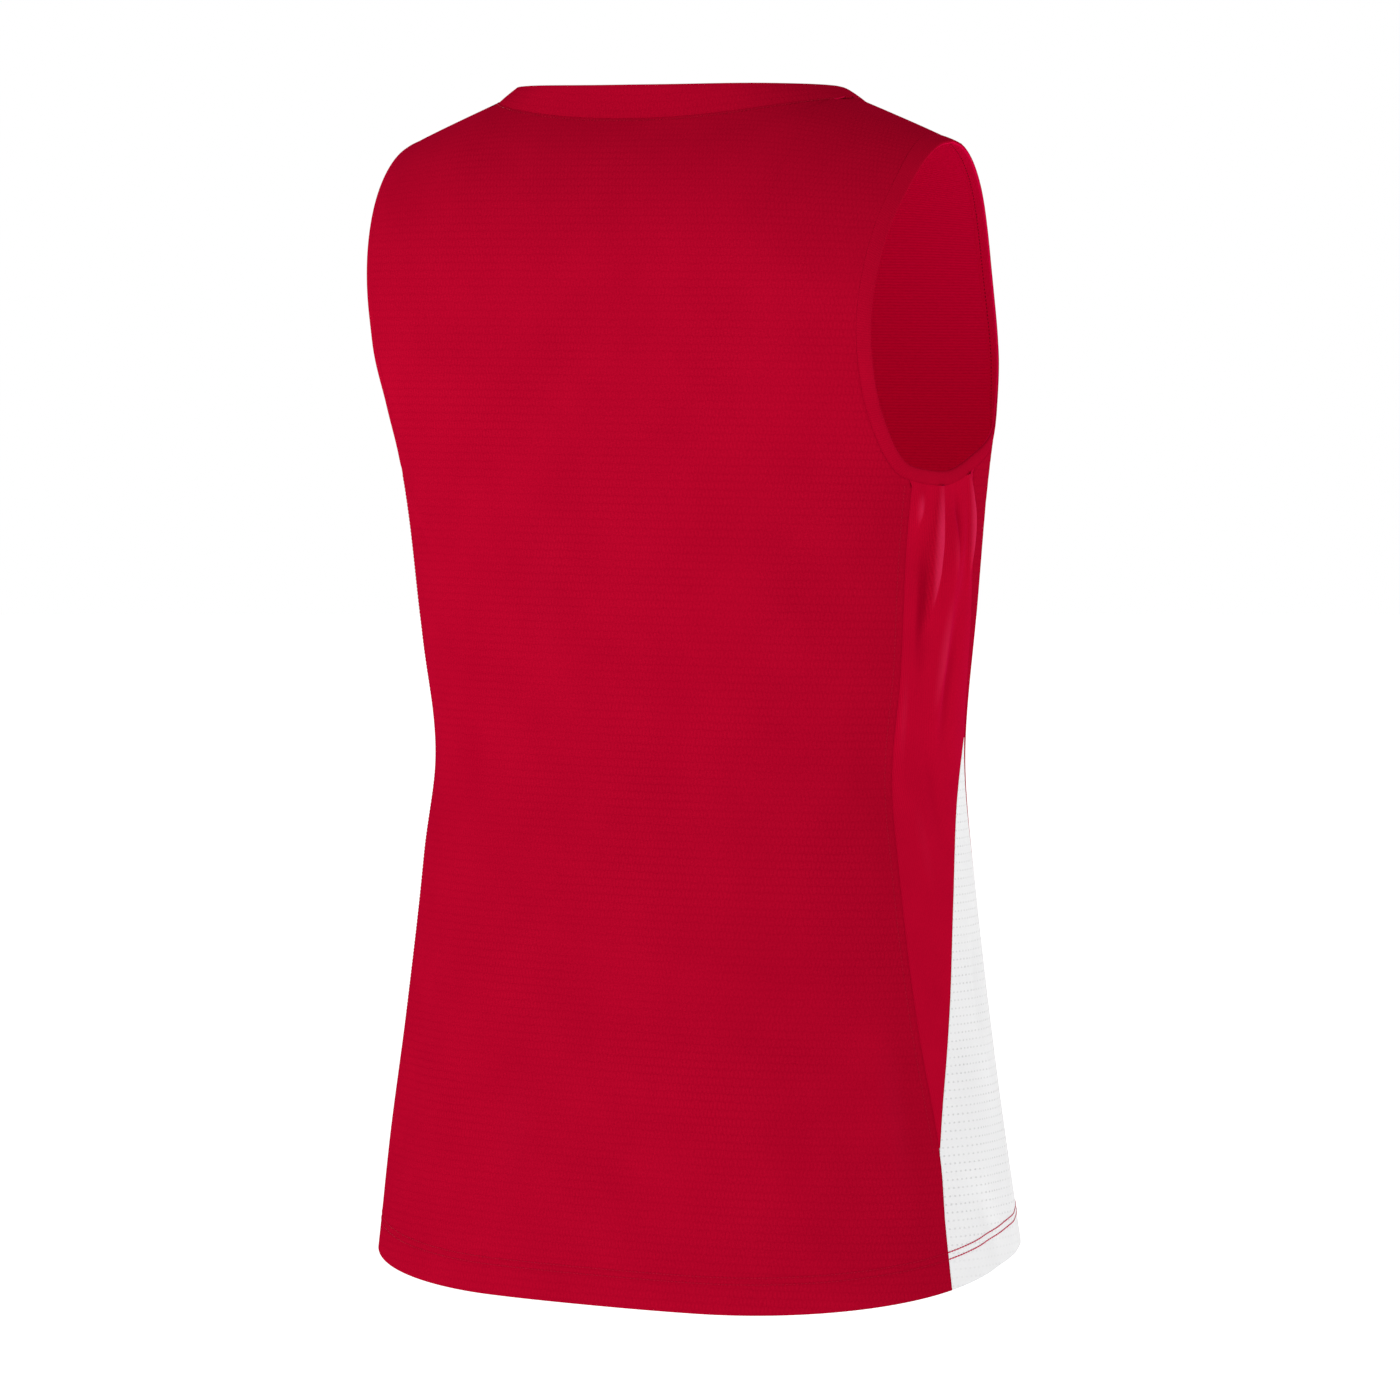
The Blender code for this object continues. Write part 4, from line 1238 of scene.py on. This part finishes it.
class JerseySizes(bpy.types.PropertyGroup):
    """Sizes of the cloth and its stitches"""

    panel_wall: FloatProperty(
        name="Panel wall", description="Thickness of the panels' cloth",
        default=0.0012, min=0.0005, max=0.0014, unit="LENGTH",
    )
    band_wall: FloatProperty(
        name="Band wall", description="Thickness of one layer of a folded band",
        default=0.0008, min=0.0003, max=0.0009, unit="LENGTH",
    )
    cell_width: FloatProperty(
        name="Loop width", description="Width of a loop of the mesh knit",
        default=0.0025, min=0.001, max=0.01, unit="LENGTH",
    )
    eyelet_width: FloatProperty(
        name="Eyelet pitch", description="Distance between the eyelets of the white knit",
        default=0.0042, min=0.001, max=0.01, unit="LENGTH",
    )
    cell_height: FloatProperty(
        name="Loop height", description="Height of a loop of the mesh knit",
        default=0.005, min=0.001, max=0.01, unit="LENGTH",
    )
    rib: FloatProperty(
        name="Rib height", description="Height of a rib on the knit's inner face",
        default=0.0019, min=0.0005, max=0.01, unit="LENGTH",
    )
    fine_wale: FloatProperty(
        name="Fine loop width", description="Width of a loop of the smooth knit",
        default=0.0015, min=0.0005, max=0.01, unit="LENGTH",
    )
    stitch_pitch: FloatProperty(
        name="Stitch pitch", description="Distance from one stitch to the next",
        default=0.0024, min=0.001, max=0.01, unit="LENGTH",
    )
    stitch_width: FloatProperty(
        name="Thread width", description="Thickness of a stitch",
        default=0.0005, min=0.0002, max=0.002, unit="LENGTH",
    )


class JerseyColours(bpy.types.PropertyGroup):
    """Colours of the cloth, the thread and the studio"""

    red: FloatVectorProperty(
        name="Red", description="Colour of the mesh panels, the neck band and the armhole bands",
        subtype="COLOR", default=(0.342, 0.0, 0.0152), min=0, max=1,
    )
    side_red: FloatVectorProperty(
        name="Side red", description="Colour of the smooth side panels",
        subtype="COLOR", default=(0.40, 0.0, 0.018), min=0, max=1,
    )
    # Painted light: the inner face's red is set lighter than the outer red, to brighten the inside
    # where little light reaches
    inside: FloatVectorProperty(
        name="Inside red", description="Colour of the cloth's inner face",
        subtype="COLOR", default=(0.42, 0.0, 0.034), min=0, max=1,
    )
    white: FloatVectorProperty(
        name="White", description="Colour of the side wedges",
        subtype="COLOR", default=(0.80, 0.80, 0.805), min=0, max=1,
    )
    thread: FloatVectorProperty(
        name="Thread", description="Colour of the thread on red cloth",
        subtype="COLOR", default=(0.36, 0.002, 0.02), min=0, max=1,
    )
    # Painted shade: real stitches in thread darker than the cloth, so that they show as the dark
    # shadow dots of the stitches inside the armhole bands
    dark_thread: FloatVectorProperty(
        name="Dark thread", description="Colour of the thread inside the armhole bands",
        subtype="COLOR", default=(0.13, 0.0, 0.008), min=0, max=1,
    )
    thread_on_white: FloatVectorProperty(
        name="Thread on white", description="Colour of the thread on the white wedges",
        subtype="COLOR", default=(0.48, 0.002, 0.05), min=0, max=1,
    )
    paper: FloatVectorProperty(
        name="Backdrop", description="Colour of the floor and the backdrop",
        subtype="COLOR", default=(0.9, 0.9, 0.9), min=0, max=1,
    )


# Outer finish, inner finish and material slot
RED_MESH = ("red mesh knit", "red mesh inside", "red_mesh")
RED_SMOOTH = ("red smooth knit", "red smooth inside", "red_smooth")
WHITE_MESH = ("white mesh knit", "white mesh knit", "white_mesh")
RED_BAND = ("red band knit", "red mesh inside", "red_smooth")
SIDES = (("left", 1), ("right", -1))
SIDE_GRAIN = 82  # turn of the line that runs with the grain
WEDGE_GRAIN = 98


class JERSEY_OT_back_panel(bpy.types.Operator):
    """Make the mesh knit back with its hem and topstitching"""

    bl_idname = "jersey.back_panel"
    bl_label = "Back Panel"

    def execute(self, context):
        grid = back_grid(PANEL_STEPS)
        piece, flat, area = panel("back_panel_cloth", grid, (1, -1), 0, 0, RED_MESH)
        corner = hem_turn(BACK_SEAM, -HALF_GAP)
        lines = hem_lines(-corner, corner, HEM_POINTS)
        beside = np.linspace(WEDGE_FOOT, armpit_height(BACK_CORNER) - ROW_END, SEAM_POINTS)
        lines += both_sides(seam_spots(BACK_SEAM, beside, -SIDE_STITCHES))
        neck = neckline(np.linspace(0, 1, LINE_POINTS), front=False)
        lines += both_sides(neck - (0, BACK_NECK_STITCHES))
        stitches = sewn("back_panel_stitches", lines, "red thread")
        return {"FINISHED"}


class JERSEY_OT_front_panel(bpy.types.Operator):
    """Make the mesh knit front with its hem"""

    bl_idname = "jersey.front_panel"
    bl_label = "Front Panel"

    def execute(self, context):
        grid = front_grid(PANEL_STEPS)
        piece, flat, area = panel("front_panel_cloth", grid, (1, -1), 180, -1, RED_MESH)
        corner = hem_turn(WEDGE_FRONT_SEAM, HALF_GAP)
        lines = hem_lines(corner, 360 - corner, HEM_POINTS)
        neck = neckline(np.linspace(1.02, 2, LINE_POINTS), front=True)
        lines += both_sides(neck - (0, FRONT_NECK_STITCHES))
        stitches = sewn("front_panel_stitches", lines, "red thread")
        return {"FINISHED"}


class JERSEY_OT_side_panels(bpy.types.Operator):
    """Make the smooth knit side panels under the arms"""

    bl_idname = "jersey.side_panels"
    bl_label = "Side Panels"

    def execute(self, context):
        grid = side_grid(SIDE_STEPS)
        for side, half in SIDES:
            name = f"side_panel_{side}_cloth"
            piece, flat, area = panel(name, grid, (half,), SIDE_GRAIN, None, RED_SMOOTH)
        return {"FINISHED"}


class JERSEY_OT_wedges(bpy.types.Operator):
    """Make the white side wedges with the red stitching of their hems"""

    bl_idname = "jersey.wedges"
    bl_label = "Side Wedges"

    def execute(self, context):
        grid = wedge_grid(SIDE_STEPS)
        back, front = hem_turn(BACK_SEAM, HALF_GAP), hem_turn(WEDGE_FRONT_SEAM, -HALF_GAP)
        for side, half in SIDES:
            name = f"wedge_{side}_cloth"
            piece, flat, area = panel(name, grid, (half,), WEDGE_GRAIN, None, WHITE_MESH)
            lines = hem_lines(back * half, front * half, LINE_POINTS)
            name = f"wedge_{side}_stitches"
            stitches = sewn(name, lines, "red thread on white", thickness=1.8, share=1.05)
        return {"FINISHED"}


class JERSEY_OT_neck_band(bpy.types.Operator):
    """Make the folded neck band"""

    bl_idname = "jersey.neck_band"
    bl_label = "Neck Band"

    def execute(self, context):
        *left, widths = neck_lines()
        lines = [(*left, widths, False), (*map(flipped, left), widths, True)]
        piece, flat, area = folded_band("neck_band_cloth", lines, RED_MESH)
        return {"FINISHED"}


class JERSEY_OT_armhole_bands(bpy.types.Operator):
    """Make the folded armhole bands with the stitching on their inner faces"""

    bl_idname = "jersey.armhole_bands"
    bl_label = "Armhole Bands"

    def execute(self, context):
        *left, widths = armhole_lines()
        for side, half in SIDES:
            at, up, out = left if half > 0 else map(flipped, left)
            name = f"armhole_band_{side}_cloth"
            piece, flat, area = folded_band(name, [(at, up, out, widths, half < 0)], RED_BAND)
            inner = at + up * BAND_STITCHES - out * (BAND_THICK + THREAD_LIFT)
            name, lines = f"armhole_stitches_{side}", [(inner, -out)]
            # Real stitches; their thread is darkened as painted shade
            stitches = sewn(name, lines, "dark red thread", thickness=1.5, share=0.62)
        return {"FINISHED"}


# The studio, in metres and degrees
FLOOR_SIZE = 400
FLOOR_HEIGHT = -1.3
VIEW_AZIMUTH = 210
VIEW_ELEVATION = 1.75
VIEW_AIM = (-0.0105, -0.0061, -0.366)
VIEW_DISTANCE = 4.2
VIEW_LENS = 168.75
VIEW_SENSOR = 36
HORIZON = -0.2  # height on the world's sphere where the room's light starts to change
ROOM_LIGHT = (0.7, 0.44)  # its strength there and overhead
LIGHT_AIM = Vector((0, 0, -0.37))
LIGHTS = rows_of(
    "name place size power",
    ("key_light", (1.5, 3.1, 0.5), 1.4, 50),
    ("side_light", (-3.2, -0.7, 0.6), 1.0, 18),
    ("front_light", (1.9, -3.0, 1.1), 1.6, 45),
)


def light_room(world):
    """Soft light from all round, stronger at the horizon, and plain white to the camera."""
    world.use_nodes = True
    nodes, link = world.node_tree.nodes, world.node_tree.links.new
    room, paper = nodes["Background"], nodes.new("ShaderNodeBackground")
    for background in (room, paper):
        background.inputs["Color"].default_value = (1, 1, 1, 1)
    way, split = nodes.new("ShaderNodeTexCoord"), nodes.new("ShaderNodeSeparateXYZ")
    fall = nodes.new("ShaderNodeMapRange")
    for socket, value in zip(fall.inputs[1:5], (HORIZON, 1, *ROOM_LIGHT)):
        socket.default_value = value
    seen, choice = nodes.new("ShaderNodeLightPath"), nodes.new("ShaderNodeMixShader")
    link(way.outputs["Generated"], split.inputs[0])
    link(split.outputs["Z"], fall.inputs["Value"])
    link(fall.outputs[0], room.inputs["Strength"])
    link(seen.outputs["Is Camera Ray"], choice.inputs[0])
    link(room.outputs[0], choice.inputs[1])
    link(paper.outputs[0], choice.inputs[2])
    link(choice.outputs[0], nodes["World Output"].inputs["Surface"])


def set_off(thing, place, back):
    """Puts a lamp or a camera at a place, with its back to a direction."""
    thing.location = place
    thing.rotation_mode = "QUATERNION"
    thing.rotation_quaternion = back.to_track_quat("Z", "Y")


class JERSEY_OT_stage(bpy.types.Operator):
    """Set up the pale floor and backdrop, the soft lights and the camera"""

    bl_idname = "jersey.stage"
    bl_label = "Studio"

    def execute(self, context):
        scene = context.scene
        scene.view_settings.view_transform = "Standard"
        bpy.ops.object.select_all(action="DESELECT")
        bpy.ops.mesh.primitive_plane_add(size=FLOOR_SIZE, location=(0, 0, FLOOR_HEIGHT))
        floor = context.object
        floor.name = "studio_floor"
        bpy.ops.object.transform_apply(location=True)
        floor.data.materials.append(finish("studio paper"))
        scene.world = scene.world or bpy.data.worlds.new("studio")
        light_room(scene.world)
        for light in LIGHTS:
            bpy.ops.object.light_add(type="AREA")
            lamp = context.object
            lamp.name = light.name
            lamp.data.size = light.size
            lamp.data.energy = light.power
            set_off(lamp, light.place, Vector(light.place) - LIGHT_AIM)
        bpy.ops.object.camera_add()
        camera = context.object
        azimuth, elevation = math.radians(VIEW_AZIMUTH), math.radians(VIEW_ELEVATION)
        level = math.cos(elevation)
        back = (math.sin(azimuth) * level, -math.cos(azimuth) * level, math.sin(elevation))
        set_off(camera, Vector(VIEW_AIM) + Vector(back) * VIEW_DISTANCE, Vector(back))
        camera.data.lens = VIEW_LENS
        camera.data.sensor_width = VIEW_SENSOR
        camera.data.clip_start, camera.data.clip_end = 0.1, 60
        scene.camera = camera
        return {"FINISHED"}


class JERSEY_PT_jersey(bpy.types.Panel):
    """The jersey's sizes, its colours and the steps that make it"""

    bl_label = "Basketball Jersey"
    bl_idname = "JERSEY_PT_jersey"
    bl_space_type = "VIEW_3D"
    bl_region_type = "UI"
    bl_category = "Jersey"

    def draw(self, context):
        for group in (context.scene.jersey_sizes, context.scene.jersey_colours):
            box = self.layout.box()
            for key in group.__annotations__:
                box.prop(group, key)
        for step in STEPS:
            self.layout.operator(step.bl_idname)


STEPS = (
    JERSEY_OT_back_panel,
    JERSEY_OT_front_panel,
    JERSEY_OT_side_panels,
    JERSEY_OT_wedges,
    JERSEY_OT_neck_band,
    JERSEY_OT_armhole_bands,
    JERSEY_OT_stage,
)
CLASSES = (JerseySizes, JerseyColours, *STEPS, JERSEY_PT_jersey)


def register():
    for cls in CLASSES:
        bpy.utils.register_class(cls)
    bpy.types.Scene.jersey_sizes = PointerProperty(type=JerseySizes)
    bpy.types.Scene.jersey_colours = PointerProperty(type=JerseyColours)


def unregister():
    del bpy.types.Scene.jersey_colours
    del bpy.types.Scene.jersey_sizes
    for cls in reversed(CLASSES):
        bpy.utils.unregister_class(cls)


def main():
    register()
    bpy.ops.jersey.back_panel()
    bpy.ops.jersey.front_panel()
    bpy.ops.jersey.side_panels()
    bpy.ops.jersey.wedges()
    bpy.ops.jersey.neck_band()
    bpy.ops.jersey.armhole_bands()
    bpy.ops.jersey.stage()


if __name__ == "__main__":
    main()
